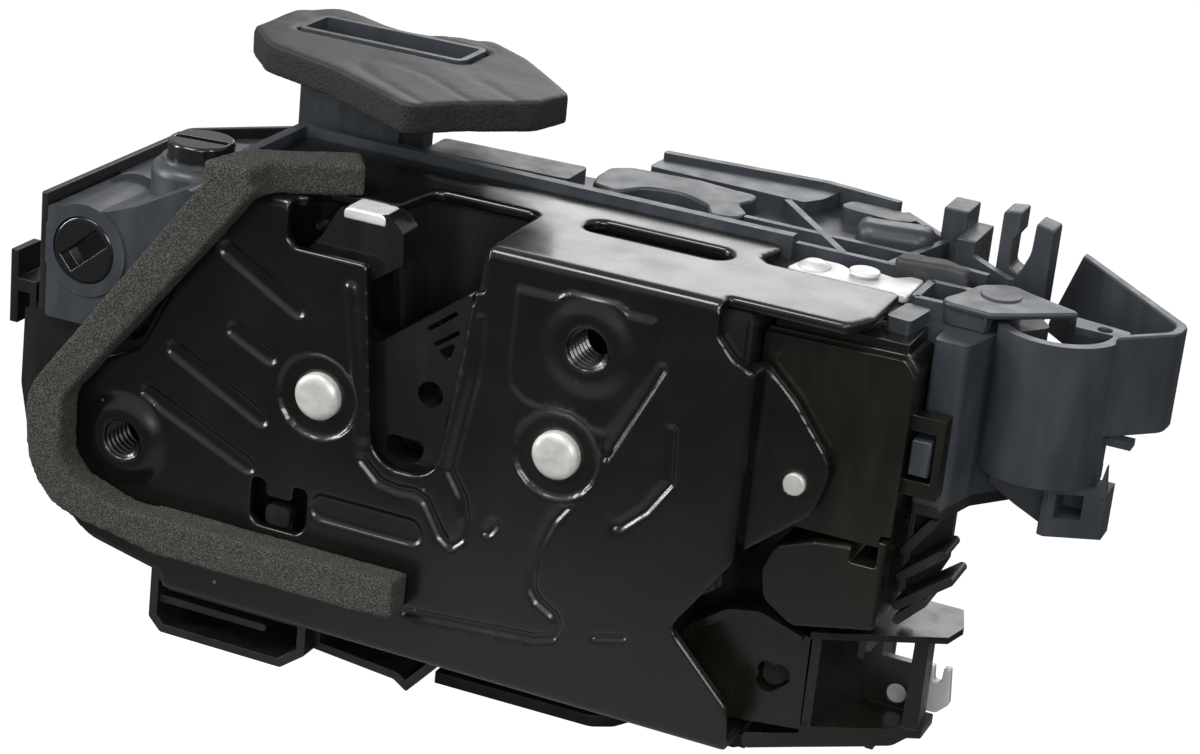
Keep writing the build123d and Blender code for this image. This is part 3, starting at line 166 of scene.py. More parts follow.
plasticWear = {
    "cloudGrain": (45, 5), "cloudRange": (0.35, 0.75), "scuffGrain": (260, 6), "scuffStretch": (1, 1, 0.25),
    "scuffRange": (0.4, 0.8), "scuffShare": (0.2, 1), "roughRange": (0.3, 0.8), "smoother": 0.06,
    "rougher": 0.12, "grainDetail": 3, "relief": (0.00003, 0.6),
}


def makePlastic(name, look):
    # moulded grain, paler where it is scuffed
    wear = plasticWear
    material, tree, shader, coords = startMaterial(name, look)
    cloud = addNoise(tree, coords, wear["cloudGrain"])
    scuff = addNoise(tree, coords, wear["scuffGrain"], wear["scuffStretch"])
    both = multiply(tree, remap(tree, cloud, wear["cloudRange"]),
                    remap(tree, scuff, wear["scuffRange"], wear["scuffShare"]))
    tree.links.new(mixColours(tree, both, look["colour"], look["worn"]), shader.inputs["Base Color"])
    span = (look["roughness"] - wear["smoother"], look["roughness"] + wear["rougher"])
    tree.links.new(remap(tree, scuff, wear["roughRange"], span), shader.inputs["Roughness"])
    addBump(tree, shader, addNoise(tree, coords, (look["grain"], wear["grainDetail"])), wear["relief"])
    return material


peenedSteelLook = {
    "colour": (0.53, 0.53, 0.505), "dark": (0.39, 0.39, 0.375), "metallic": 0.35, "blotchGrain": (420, 6),
    "darkRange": (0.38, 0.66), "roughness": 0.55, "smoother": 0.19, "rougher": 0.03, "roughRange": (0.3, 0.7),
    "dentGrain": (900, 4), "relief": (0.00005, 0.6),
}


def makePeenedSteel():
    look = peenedSteelLook
    material, tree, shader, coords = startMaterial("peenedSteel", look)
    blotch = addNoise(tree, coords, look["blotchGrain"])
    tone = mixColours(tree, remap(tree, blotch, look["darkRange"]), look["dark"], look["colour"])
    tree.links.new(tone, shader.inputs["Base Color"])
    span = (look["roughness"] + look["rougher"], look["roughness"] - look["smoother"])
    tree.links.new(remap(tree, blotch, look["roughRange"], span), shader.inputs["Roughness"])
    addBump(tree, shader, addNoise(tree, coords, look["dentGrain"]), look["relief"])
    return material


# stretch draws the grain out into brushed lines
metalLooks = {
    "brightSteel": {"colour": (0.74, 0.745, 0.73), "dark": (0.5, 0.505, 0.49), "roughness": 0.44,
                    "metallic": 0.3, "stretch": (1, 1, 14)},
    "zincSheet": {"colour": (0.6, 0.6, 0.59), "dark": (0.5, 0.5, 0.49), "roughness": 0.46,
                  "metallic": 0.5, "stretch": (1, 1, 1)},
    "darkSteel": {"colour": (0.17, 0.17, 0.17), "dark": (0.06, 0.06, 0.06), "roughness": 0.34,
                  "metallic": 1.0, "stretch": (1, 1, 1)},
    "brass": {"colour": (0.6, 0.5, 0.25), "dark": (0.45, 0.36, 0.17), "roughness": 0.3,
              "metallic": 1.0, "stretch": (1, 1, 14)},
}
metalGrain = {"lines": (300, 5), "range": (0.3, 0.7), "smoother": 0.06, "rougher": 0.1,
              "relief": (0.00002, 0.5)}


def makeMetal(name, look):
    material, tree, shader, coords = startMaterial(name, look)
    lines = addNoise(tree, coords, metalGrain["lines"], look["stretch"])
    tone = mixColours(tree, remap(tree, lines, metalGrain["range"]), look["dark"], look["colour"])
    tree.links.new(tone, shader.inputs["Base Color"])
    span = (look["roughness"] + metalGrain["rougher"], look["roughness"] - metalGrain["smoother"])
    tree.links.new(remap(tree, lines, metalGrain["range"], span), shader.inputs["Roughness"])
    addBump(tree, shader, lines, metalGrain["relief"])
    return material


poreRange = (0.12, 0.62)
foamLook = {
    "colour": (0.050, 0.048, 0.043), "pore": (0.012, 0.0115, 0.0105), "paintedGlint": (0.17, 0.165, 0.15),
    "cellScale": 3400, "glintFineness": 1.7, "glintDetail": 4, "glintRange": (0.58, 0.76), "roughness": 0.95,
    "specular": 0.12, "relief": (0.00016, 1.0),
}


def makeCutFoam():
    # dark pores with pale cell walls between them, and painted glints: pale specks that stand in for light
    # caught on the cells
    look = foamLook
    material, tree, shader, coords = startMaterial("cutFoam", look)
    walls = addCells(tree, coords, look["cellScale"], poreRange)
    body = mixColours(tree, walls, look["pore"], look["colour"])
    # painted highlight: fine pale specks mixed into the colour where light would glint off the cells
    fine = addNoise(tree, coords, (look["cellScale"] * look["glintFineness"], look["glintDetail"]))
    paintedGlints = mixColours(tree, remap(tree, fine, look["glintRange"]), body, look["paintedGlint"])
    tree.links.new(paintedGlints, shader.inputs["Base Color"])
    addBump(tree, shader, walls, look["relief"])
    return material


skinLook = {
    "colour": (0.010, 0.010, 0.0095), "pale": (0.024, 0.024, 0.023), "paleGrain": (90, 5),
    "paleRange": (0.35, 0.7), "pore": (0.004, 0.004, 0.0036), "wall": (0.016, 0.016, 0.0145),
    "cellScale": 2600, "upward": (0.45, 0.7), "cutRoughness": 0.95, "roughness": 0.5, "specular": 0.3,
    "creaseGrain": (240, 5), "relief": (0.00016, 0.8),
}


def makeFoamWithSkin():
    # smooth creased skin on faces that look up, open cells on the cut sides
    look = skinLook
    material, tree, shader, coords = startMaterial("foamWithSkin", look)
    walls = addCells(tree, coords, look["cellScale"], poreRange)
    cut = mixColours(tree, walls, look["pore"], look["wall"])
    split = tree.nodes.new("ShaderNodeSeparateXYZ")
    tree.links.new(tree.nodes.new("ShaderNodeNewGeometry").outputs["Normal"], split.inputs["Vector"])
    facing = remap(tree, split.outputs["Z"], look["upward"])
    paler = remap(tree, addNoise(tree, coords, look["paleGrain"]), look["paleRange"])
    skin = mixColours(tree, paler, look["colour"], look["pale"])
    tree.links.new(mixColours(tree, facing, cut, skin), shader.inputs["Base Color"])
    rough = remap(tree, facing, (0, 1), (look["cutRoughness"], look["roughness"]))
    tree.links.new(rough, shader.inputs["Roughness"])
    height = tree.nodes.new("ShaderNodeMix")
    tree.links.new(facing, height.inputs["Factor"])
    tree.links.new(walls, height.inputs["A"])
    tree.links.new(addNoise(tree, coords, look["creaseGrain"]), height.inputs["B"])
    addBump(tree, shader, height.outputs["Result"], look["relief"])
    return material


materials = {"coatedSteel": makeCoatedSteel()}
for name, look in plasticLooks.items():
    materials[name] = makePlastic(name, look)
materials["peenedSteel"] = makePeenedSteel()
for name, look in metalLooks.items():
    materials[name] = makeMetal(name, look)
materials["cutFoam"] = makeCutFoam()
materials["foamWithSkin"] = makeFoamWithSkin()
print("materials made:", len(materials))

# weld and tiny in mm, angles in degrees
meshing = {"weld": 0.002, "tiny": 0.0001, "flat": 0.6, "sharp": 32, "roundSteps": 2, "postSteps": 40}


def giveMesh(name, bm, material, body):
    mesh = bpy.data.meshes.new(name)
    bm.to_mesh(mesh)
    bm.free()
    piece = bpy.data.objects.new(name, mesh)
    bpy.context.scene.collection.objects.link(piece)
    mesh.materials.append(materials[material])
    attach(piece, body)
    return piece


def copyOfNode(node):
    bm = bmesh.new()
    bm.from_mesh(frame["nodes"][node].data)
    bmesh.ops.remove_doubles(bm, verts=bm.verts, dist=meshing["weld"] * mm)
    bmesh.ops.dissolve_limit(bm, angle_limit=math.radians(meshing["flat"]), verts=bm.verts, edges=bm.edges)
    return bm


def finishRigid(name, bm, material, body, width, *nodes):
    # a hard piece with its edges rounded; it takes the place of the nodes named last
    for face in bm.faces:
        face.smooth = True
    piece = giveMesh(name, bm, material, body)
    rounding = piece.modifiers.new("rounding", "BEVEL")
    rounding.width = width * mm
    rounding.segments = meshing["roundSteps"]
    rounding.limit_method = "ANGLE"
    rounding.angle_limit = math.radians(meshing["sharp"])
    piece.modifiers.new("shading", "WEIGHTED_NORMAL").keep_sharp = False
    if nodes:
        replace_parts(piece, *nodes)
    return piece


# node: material and radius of its rounded edges in mm
softened = {
    "mechanism_box": ("blackPlastic", 0.4), "left_housing": ("greyPlastic", 0.5),
    "left_wall": ("blackPlastic", 0.3), "clip_tab": ("blackPlastic", 0.3),
    "connector_tower": ("greyPlastic", 0.35), "side_cover": ("coverPlastic", 0.5),
    "dome_cover": ("coverPlastic", 0.5), "lower_cover": ("coverPlastic", 0.4),
    "frame_box": ("coverPlastic", 0.3), "cable_fins": ("blackPlastic", 0.25),
    "lock_housing": ("blackPlastic", 0.6), "lock_back_cover": ("blackPlastic", 0.5),
    "lower_skirt": ("blackPlastic", 0.35), "drip_sill": ("blackPlastic", 0.6),
    "cable_guide": ("greyPlastic", 0.4), "guide_tab": ("greyPlastic", 0.3),
    "slotted_bracket": ("greyPlastic", 0.35), "latch_wedge": ("greyPlastic", 0.3),
    "catch_jacket": ("glossPlastic", 0.25), "catch_core": ("coatedSteel", 0.2),
    "front_rotor": ("glossPlastic", 0.3), "top_rotor": ("glossPlastic", 0.3), "lever_pin": ("zincSheet", 0.3),
    "inner_lever": ("zincSheet", 0.2), "housing_cover": ("blackPlastic", 0.4), "rubber_stop": ("rubber", 0.8),
    "ear_rivet": ("peenedSteel", 0.35), "backing_plate": ("coatedSteel", 0.2),
    "striker_buffer": ("rubber", 0.6), "cover_screws": ("zincSheet", 0.25), "pawl_core": ("darkSteel", 0.2),
    "pawl_lever": ("glossPlastic", 0.3), "inner_lever_pin": ("peenedSteel", 0.3),
}
for node, (material, width) in softened.items():
    finishRigid(node + "_shell", copyOfNode(node), material, bodyOfNode[node], width, node)
print("nodes softened:", len(softened))


def bakeModifiers(piece):
    done = bpy.data.meshes.new_from_object(piece.evaluated_get(bpy.context.evaluated_depsgraph_get()))
    piece.modifiers.clear()
    piece.data = done


def remeshed(piece, voxel, rounds):
    # even cells all over, eased so that corners flow
    cells = piece.modifiers.new("cells", "REMESH")
    cells.mode = "VOXEL"
    cells.voxel_size = voxel * mm
    easing = piece.modifiers.new("easing", "SMOOTH")
    easing.factor = 0.5
    easing.iterations = rounds
    bakeModifiers(piece)


def finishRemeshed(piece, material):
    piece.data.materials.clear()
    piece.data.materials.append(materials[material])
    for polygon in piece.data.polygons:
        polygon.use_smooth = True


# sizes in mm; each collar is x, z and the depth that its slope runs out to
pressedPlate = {
    "voxel": 0.42, "easing": 6, "kept": 0.32, "depth": 0.6, "padSlope": 1.6, "creaseFlat": 0.2,
    "creaseSlope": 1.1, "markReach": 2.6, "rimReach": 2.0, "frontDepth": 0.95, "frontFacing": -0.12,
    "low": -57, "high": 8.4, "right": 19, "dishes": ((-47.8, -20.5), (-4.1, -19.9)), "dishReach": 8.6,
    "collars": ((0, 0, -0.6), (-84.3, -37.1, 0)), "collarRise": 1.45, "collarHole": 4.3, "collarFlat": 5.0,
    "collarSlope": 4.0, "collarReach": 9.2,
}

# long creases in the plate face, x and z in mm
creases = (
    ((15.3, -10.7), (15.8, -19.5), (12.1, -25.3), (8.0, -29.2)),
    ((-28.4, -54.9), (-4.6, -52.9), (-1.6, -51.9), (-0.7, -49.8), (-1.4, -47.9), (-4.6, -46.1), (-5.9, -44.2),
     (-6.2, -41.0), (-5.6, -36.4), (-3.6, -31.2), (-0.9, -27.3), (4.1, -18.6), (12.4, -0.8)),
    ((-19.3, 0.0), (-19.6, -10.5), (-22.5, -27.3), (-19.7, -31.7), (-18.9, -35.2), (-19.6, -38.8),
     (-21.4, -40.6), (-23.0, -39.4), (-26.4, -33.8), (-28.6, -32.9), (-31.8, -33.2), (-35.2, -32.6),
     (-38.6, -29.6)),
)
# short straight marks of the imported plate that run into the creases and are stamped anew
packedMarks = (
    ((15.8, -10.0), (15.8, -19.0), (9.2, -28.2)), ((-22.4, -22.4), (-19.0, -0.5)),
    ((4.5, -16.6), (12.6, 0.4)), ((-24.0, -31.0), (-19.8, -38.0)),
)
raisedPad = ((-13.2, 7.0), (-13.4, -7.0), (-12.6, -9.8), (-10.4, -11.5), (-7.4, -12.1), (1.7, -13.6),
             (4.2, -13.6), (5.4, -12.2), (9.6, -4.4), (10.2, -2.0), (10.6, 7.0))
packedPad = ((-13.2, 7.4), (-13.4, -8.2), (-7.0, -11.6), (1.8, -11.0), (7.0, -8.2), (8.6, -2.0), (9.6, 7.4))


def farFrom(x, z, line):
    # distance in mm from many points to a chain of straight runs
    nearest = numpy.full(len(x), numpy.inf)
    for (ax, az), (bx, bz) in zip(line, line[1:]):
        dx, dz = bx - ax, bz - az
        along = numpy.clip(((x - ax) * dx + (z - az) * dz) / (dx * dx + dz * dz), 0, 1)
        nearest = numpy.minimum(nearest, numpy.hypot(x - ax - along * dx, z - az - along * dz))
    return nearest


def farFromAll(x, z, lines):
    return numpy.min([farFrom(x, z, line) for line in lines], axis=0)


def insideOf(x, z, ring):
    inside = numpy.zeros(len(x), dtype=bool)
    for (ax, az), (bx, bz) in zip(ring, ring[1:] + ring[:1]):
        if az != bz:
            inside ^= ((az > z) != (bz > z)) & (x < ax + (z - az) * (bx - ax) / (bz - az))
    return inside


def easedStep(value):
    value = numpy.clip(value, 0, 1)
    return value * value * (3 - 2 * value)


def stampedHeight(x, z):
    # depth of the plate face in mm: the pad stands proud, the creases are pressed in
    depth, slope = pressedPlate["depth"], pressedPlate["padSlope"]
    edge = farFrom(x, z, raisedPad + raisedPad[:1])
    edge = numpy.where(insideOf(x, z, raisedPad), edge, -edge)
    height = -depth * easedStep((edge + slope / 2) / slope)
    crease = farFromAll(x, z, creases) - pressedPlate["creaseFlat"]
    return height + depth * (1 - easedStep(crease / pressedPlate["creaseSlope"]))


def stampPlate(mesh):
    # the front face gets its depth anew at the collars, the creases and the pad's rim
    count = len(mesh.vertices)
    place, facing = numpy.empty(count * 3), numpy.empty(count * 3)
    mesh.vertices.foreach_get("co", place)
    mesh.vertices.foreach_get("normal", facing)
    place = place.reshape(-1, 3) / mm
    x, y, z = place.T
    front = (y < pressedPlate["frontDepth"]) & (facing.reshape(-1, 3)[:, 1] < pressedPlate["frontFacing"])
    front &= (z > pressedPlate["low"]) & (z < pressedPlate["high"]) & (x < pressedPlate["right"])
    free = front.copy()
    for cx, cz in pressedPlate["dishes"]:
        free &= numpy.hypot(x - cx, z - cz) > pressedPlate["dishReach"]
    for cx, cz, base in pressedPlate["collars"]:
        around = numpy.hypot(x - cx, z - cz)
        free &= around > pressedPlate["collarReach"]
        collar = front & (around > pressedPlate["collarHole"]) & (around < pressedPlate["collarReach"])
        slope = easedStep((around[collar] - pressedPlate["collarFlat"]) / pressedPlate["collarSlope"])
        y[collar] = base * slope - pressedPlate["collarRise"] * (1 - slope)
    marks = farFromAll(x, z, creases + packedMarks)
    rims = farFromAll(x, z, [ring + ring[:1] for ring in (raisedPad, packedPad)])
    changed = free & ((marks < pressedPlate["markReach"]) | (rims < pressedPlate["rimReach"]))
    y[changed] = stampedHeight(x[changed], z[changed])
    mesh.vertices.foreach_set("co", (place * mm).ravel())


def makePressedPlate():
    # the plate as a press leaves it: beads, dishes and folds flow into the sheet
    node = "latch_plate"
    piece = giveMesh(node + "_pressed", copyOfNode(node), "coatedSteel", bodyOfNode[node])
    remeshed(piece, pressedPlate["voxel"], pressedPlate["easing"])
    stampPlate(piece.data)
    piece.modifiers.new("thinning", "DECIMATE").ratio = pressedPlate["kept"]
    bakeModifiers(piece)
    finishRemeshed(piece, "coatedSteel")
    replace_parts(piece, node)
    print("plate pressed, faces:", len(piece.data.polygons))


makePressedPlate()

outlining = {"cornerSteps": 5, "longestCorner": 0.48, "crownSteps": 6}


def roundedFace(bm, corners):
    # flat face on the ground plane; each corner is x, y, radius in mm
    verts = [bm.verts.new((x * mm, y * mm, 0)) for x, y, radius in corners]
    bm.faces.new(verts)
    for vert, (x, y, radius) in zip(verts, corners):
        if not radius:
            continue
        arms = [edge.other_vert(vert).co - vert.co for edge in vert.link_edges]
        reach = radius * mm / math.tan(arms[0].angle(arms[1]) / 2)
        longest = outlining["longestCorner"] * min(arm.length for arm in arms)
        bmesh.ops.bevel(bm, geom=[vert], offset=min(reach, longest), offset_type="OFFSET",
                        segments=outlining["cornerSteps"], profile=0.5, affect="VERTICES", material=-1)
    return bm.faces[:]


def addSlab(target, corners, low, high, crown=0, upright=False):
    # solid between two heights; crown rounds its upper edge; upright turns it to stand on the x-z plane
    bm = bmesh.new()
    faces = roundedFace(bm, corners)
    grown = bmesh.ops.extrude_face_region(bm, geom=faces)["geom"]
    tops = [part for part in grown if isinstance(part, bmesh.types.BMVert)]
    bmesh.ops.translate(bm, verts=tops, vec=(0, 0, (high - low) * mm))
    bmesh.ops.translate(bm, verts=bm.verts, vec=(0, 0, low * mm))
    bmesh.ops.recalc_face_normals(bm, faces=bm.faces)
    if crown:
        near = meshing["tiny"] * mm
        rim = [edge for edge in bm.edges if all(abs(vert.co.z - high * mm) < near for vert in edge.verts)]
        bmesh.ops.bevel(bm, geom=rim, offset=crown * mm, segments=outlining["crownSteps"], profile=0.5,
                        affect="EDGES", material=-1)
    if upright:
        for vert in bm.verts:
            vert.co = Vector((vert.co.x, vert.co.z, vert.co.y))
        bmesh.ops.reverse_faces(bm, faces=bm.faces)
    scratch = bpy.data.meshes.new("scratch")
    bm.to_mesh(scratch)
    bm.free()
    target.from_mesh(scratch)
    bpy.data.meshes.remove(scratch)


def addRib(target, start, end, width, low, high):
    start, end = Vector(start), Vector(end)
    run = end - start
    side = Vector((-run.y, run.x)).normalized() * width / 2
    corners = [start - side, end - side, end + side, start + side]
    addSlab(target, [(corner.x, corner.y, 0) for corner in corners], low, high)


def addPost(target, centre, radius, tip, low, high):
    place = Matrix.Translation((centre[0] * mm, centre[1] * mm, (low + high) / 2 * mm))
    bmesh.ops.create_cone(target, cap_ends=True, segments=meshing["postSteps"], radius1=radius * mm,
                          radius2=tip * mm, depth=(high - low) * mm, matrix=place)


def cutAway(bm, place, normal):
    # takes off what lies beyond the plane and closes the cut
    cut = bmesh.ops.bisect_plane(bm, geom=bm.verts[:] + bm.edges[:] + bm.faces[:], dist=meshing["tiny"] * mm,
                                 plane_co=[part * mm for part in place], plane_no=normal, clear_outer=True)
    rims = [part for part in cut["geom_cut"] if isinstance(part, bmesh.types.BMEdge)]
    bmesh.ops.triangle_fill(bm, use_beauty=True, use_dissolve=True, edges=rims, normal=normal)


# heights in mm; what stands on the skin starts "buried" below it, and each rib's top lies "stagger" lower
housingTop = {"skin": 9.6, "cut": 0.03, "buried": 0.6, "rim": 14.0, "ribs": 12.4, "stagger": 0.01,
              "trayRibs": 0.2, "ribWidth": 1.3, "edge": 0.35}

# fall of the top below the rim, and corners as x, y, radius
housingIslands = {
    "longWall": {"fall": 0, "corners": (
        (-72.6, 33.8, 0), (20.4, 33.8, 0), (20.4, 35.8, 0), (-72.6, 35.8, 0))},
    "endWall": {"fall": 0.02, "low": 5.3, "corners": (
        (-72.6, 15.0, 0), (-70.7, 15.0, 0), (-70.7, 35.6, 0), (-72.6, 35.6, 0))},
    "flatPad": {"fall": 0.6, "corners": (
        (-49.5, 37.6, 1), (-22.5, 38.8, 1), (-22.5, 47.4, 1), (-49.5, 46.0, 1))},
    "kidney": {"fall": 1.4, "crown": 0.6, "corners": (
        (-19.5, 42.5, 2), (-20.5, 47.1, 2), (-20.5, 52.6, 2), (-17.4, 55.3, 2), (-5.1, 56.7, 2),
        (2.0, 55.6, 1), (6.5, 55.4, 1.6), (6.6, 51.6, 1.6), (5.4, 48.6, 1.2), (8.4, 44.6, 1.8),
        (7.8, 40.8, 1.8), (3.4, 39.8, 1.5), (1.0, 44.4, 2), (-4.6, 47.6, 6), (-11.0, 46.4, 4),
        (-14.4, 40.6, 2))},
    "farBank": {"fall": 1.6, "corners": (
        (-15.5, 58.6, 1), (14.0, 57.6, 1), (16.2, 61.4, 3), (17.4, 68.6, 1.5), (-15.0, 66.2, 1))},
    "bankLip": {"fall": 0.6, "corners": (
        (-15.4, 64.6, 0.5), (14.2, 67.8, 1), (28.6, 65.6, 2), (28.9, 67.0, 1), (14.4, 69.4, 1.5),
        (-15.4, 66.4, 0.5))},
    "cornerPad": {"fall": 1.62, "corners": (
        (19.4, 59.7, 2), (20.8, 64.2, 2), (29.6, 64.2, 2), (34.4, 60.6, 2), (29.8, 58.4, 1))},
}
ovalDome = {"centre": (33.0, 50.4), "half": (6.7, 3.5), "corner": 3.3, "turn": 12, "rise": 0.6, "crown": 2.3}
housingRibs = (((11.2, 57.0), (28.5, 36.4)), ((41.6, 57.2), (36.6, 36.4)), ((8.4, 43.5), (39.6, 43.2)),
               ((39.6, 43.2), (52.0, 41.6)), ((20.4, 36.4), (50.0, 36.4)), ((30.4, 64.4), (55.8, 41.8)))
trayCorners = ((45, 24), (56, 24), (56, 33), (45, 33))
nearBlock = {"low": 5, "high": 11.4,
             "corners": ((43.4, 14.4, 0.8), (47.6, 13.8, 0.8), (48.6, 21.6, 0.8), (44.4, 22.4, 0.8))}


def addOvalDome(target, low, rim):
    turned = Matrix.Rotation(math.radians(ovalDome["turn"]), 2)
    wide, deep = ovalDome["half"]
    corners = []
    for corner in ((-wide, -deep), (wide, -deep), (wide, deep), (-wide, deep)):
        spot = turned @ Vector(corner) + Vector(ovalDome["centre"])
        corners.append((spot.x, spot.y, ovalDome["corner"]))
    addSlab(target, corners, low, rim + ovalDome["rise"], ovalDome["crown"])


def makeHousingTop():
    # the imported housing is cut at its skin, and the islands and ribs are moulded on anew
    bm = copyOfNode("main_housing")
    skin, rim, width = housingTop["skin"], housingTop["rim"], housingTop["ribWidth"]
    cutAway(bm, (0, 0, skin - housingTop["cut"]), (0, 0, 1))
    low = skin - housingTop["buried"]
    for island in housingIslands.values():
        addSlab(bm, island["corners"], island.get("low", low), rim - island["fall"], island.get("crown", 0))
    addOvalDome(bm, low, rim)
    for step, (start, end) in enumerate(housingRibs):
        addRib(bm, start, end, width, low, housingTop["ribs"] - housingTop["stagger"] * step)
    for start, end in zip(trayCorners, trayCorners[1:] + trayCorners[:1]):
        addRib(bm, start, end, width, low, housingTop["ribs"] - housingTop["trayRibs"])
    addSlab(bm, nearBlock["corners"], nearBlock["low"], nearBlock["high"])
    finishRigid("main_housing_shell", bm, "greyPlastic", bodyOfNode["main_housing"], housingTop["edge"],
                "main_housing")


makeHousingTop()

hoodShape = {
    "low": 9.6, "top": 13.4, "lid": 1.0, "crown": 0.45, "overlap": 0.1, "edge": 0.3, "button": (57.4, 29.8),
    "buttonRadius": 3.4, "buttonSink": 0.2, "buttonRise": 0.3,
    "lidCorners": ((49.0, 21.2, 2.5), (51.3, 27.0, 3), (52.9, 33.0, 3), (57.2, 36.6, 3), (61.2, 34.4, 3),
                   (69.4, 30.9, 1), (70.3, 29.8, 1), (63.4, 24.0, 3), (58.5, 20.2, 1)),
    "bodyCorners": ((49.4, 21.5, 2.5), (51.7, 27.0, 3), (53.3, 32.8, 3), (57.3, 36.1, 3), (60.4, 34.4, 1),
                    (58.2, 30.6, 1), (57.3, 26.6, 1), (58.2, 22.4, 0.5), (57.8, 20.9, 0.5)),
}


def makeHood():
    bm = bmesh.new()
    shape = hoodShape
    top, under = shape["top"], shape["top"] - shape["lid"]
    addSlab(bm, shape["lidCorners"], under, top, shape["crown"])
    addSlab(bm, shape["bodyCorners"], shape["low"], under + shape["overlap"])
    addPost(bm, shape["button"], shape["buttonRadius"], shape["buttonRadius"], top - shape["buttonSink"],
            top + shape["buttonRise"])
    finishRigid("hood_shell", bm, "greyPlastic", bodyOfNode["hood"], shape["edge"], "hood")


makeHood()

# posts are corners and height; the jaw stands upright, its corners are x, z, radius
forkShape = {
    "low": -2.0, "front": 51.8, "back": 57.2, "edge": 0.3,
    "posts": ((((39.4, 55.0, 0.4), (43.8, 55.0, 0.4), (43.8, 62.4, 0.4), (39.4, 62.4, 0.4)), 17.8),
              (((43.6, 50.0, 0.4), (47.0, 50.0, 0.4), (47.0, 61.0, 0.4), (43.6, 61.0, 0.4)), 14.6),
              (((45.0, 50.0, 0), (54.0, 50.0, 0), (54.0, 58.0, 0), (45.0, 58.0, 0)), 3.6)),
    "jaw": ((50.4, 2.0, 0), (50.4, 20.4, 0.8), (53.6, 20.8, 0.4), (53.6, 17.0, 0.6), (52.7, 15.6, 1),
            (52.7, 11.0, 1), (54.4, 10.0, 1), (56.0, 14.0, 5), (56.2, 19.4, 0.4), (59.4, 18.7, 0.6),
            (59.4, 2.0, 0)),
}


def makeForkClip():
    bm = bmesh.new()
    for corners, height in forkShape["posts"]:
        addSlab(bm, corners, forkShape["low"], height)
    addSlab(bm, forkShape["jaw"], forkShape["front"], forkShape["back"], upright=True)
    finishRigid("fork_clip_shell", bm, "greyPlastic", bodyOfNode["fork_clip"], forkShape["edge"], "fork_clip")


makeForkClip()

# the far end is cut on a slant
guardBand = {
    "low": -4.4, "high": 12.5, "slantPlace": (60.4, 0, 6.0), "slantNormal": (-0.94, 0, 0.34), "edge": 0.4,
    "corners": ((77.6, 24.6, 0), (85.8, 33.2, 3.5), (86.3, 38.2, 3.5), (58.4, 68.8, 0), (57.2, 67.7, 0),
                (84.4, 37.4, 2.5), (84.2, 33.8, 2.5), (77.6, 26.8, 0)),
}


def makeGuardBand():
    bm = bmesh.new()
    addSlab(bm, guardBand["corners"], guardBand["low"], guardBand["high"])
    cutAway(bm, guardBand["slantPlace"], guardBand["slantNormal"])
    finishRigid("guard_band_shell", bm, "greyPlastic", bodyOfNode["guard_band"], guardBand["edge"],
                "guard_band")


makeGuardBand()

releaseLever = {
    "low": 9.9, "top": 11.5, "edge": 0.35, "stud": (26.2, 29.0), "studRadius": 3.0, "studTip": 1.5,
    "studSink": 0.05, "studRise": 1.0,
    "corners": ((22.4, 26.0, 1), (23.4, 31.0, 2), (26.0, 33.2, 2), (29.4, 33.2, 2), (32.0, 31.4, 0.5),
                (36.0, 33.2, 2), (38.9, 32.4, 0.5), (40.8, 34.6, 1), (43.4, 34.6, 1.2), (43.6, 25.2, 1),
                (24.0, 25.2, 1)),
}


def makeReleaseLever():
    bm = bmesh.new()
    shape = releaseLever
    addSlab(bm, shape["corners"], shape["low"], shape["top"])
    addPost(bm, shape["stud"], shape["studRadius"], shape["studTip"], shape["top"] - shape["studSink"],
            shape["top"] + shape["studRise"])
    finishRigid("release_lever_shell", bm, "zincSheet", bodyOfNode["release_lever"], shape["edge"],
                "release_lever")


makeReleaseLever()

# corners are x, z, radius
coverRim = {
    "front": 8.8, "back": 10.2, "edge": 0.3,
    "corners": ((26.2, 7.4, 0.5), (49.8, 7.8, 3.0), (51.4, 5.4, 1), (51.2, -22.4, 0.5), (49.4, -22.6, 0.3),
                (49.4, -24.4, 0.3), (45.2, -24.4, 0.3), (26.2, -24.4, 0)),
}


def makeCoverRim():
    # flange behind the edge of the side cover, a second step
    bm = bmesh.new()
    addSlab(bm, coverRim["corners"], coverRim["front"], coverRim["back"], upright=True)
    return finishRigid("side_cover_rim", bm, "coverPlastic", bodyOfNode["side_cover"], coverRim["edge"])


makeCoverRim()

hookCap = {"left": -46.9, "right": -39.0, "low": 10.4, "top": 12.5, "front": 3.1, "back": 8.9, "corner": 1.3,
           "edge": 0.5}


def makeHookCap():
    # worn bare steel on top of the catch's hook
    left, right, low, top = (hookCap[side] for side in ("left", "right", "low", "top"))
    bm = bmesh.new()
    corner = hookCap["corner"]
    corners = ((left, low, 0), (left, top, corner), (right, top, corner), (right, low, 0))
    addSlab(bm, corners, hookCap["front"], hookCap["back"], upright=True)
    return finishRigid("hook_bare_top", bm, "brightSteel", bodyOfNode["catch_core"], hookCap["edge"])


makeHookCap()
print("moulded pieces made")

# nodes that keep the shape they are packed with
plainNodes = {
    "catch_spring": "darkSteel", "pawl_spring": "darkSteel", "motor_can": "zincSheet",
    "motor_cradle": "whitePlastic", "motor_worm": "brightSteel", "worm_wheel": "whitePlastic",
    "wheel_shaft": "brightSteel", "lock_lever": "whitePlastic", "lock_lever_pin": "brightSteel",
    "lock_switch": "blackPlastic", "connector_pins": "brass",
}
for node, material in plainNodes.items():
    data = frame["nodes"][node].data
    data.materials.clear()
    data.materials.append(materials[material])

# crown is a profile of radius and depth in mm
rivetHead = {
    "crown": ((0, -0.95), (1.6, -0.93), (2.8, -0.88), (3.4, -0.74), (3.85, -0.45), (4.1, -0.1)), "back": 14.9,
    "steps": 48, "lump": 0.12, "lumpScale": 700, "lumpyBefore": -0.2,
    "centres": {"catch_rivet": (-47.8, -20.5), "pawl_rivet": (-4.1, -19.9)},
}


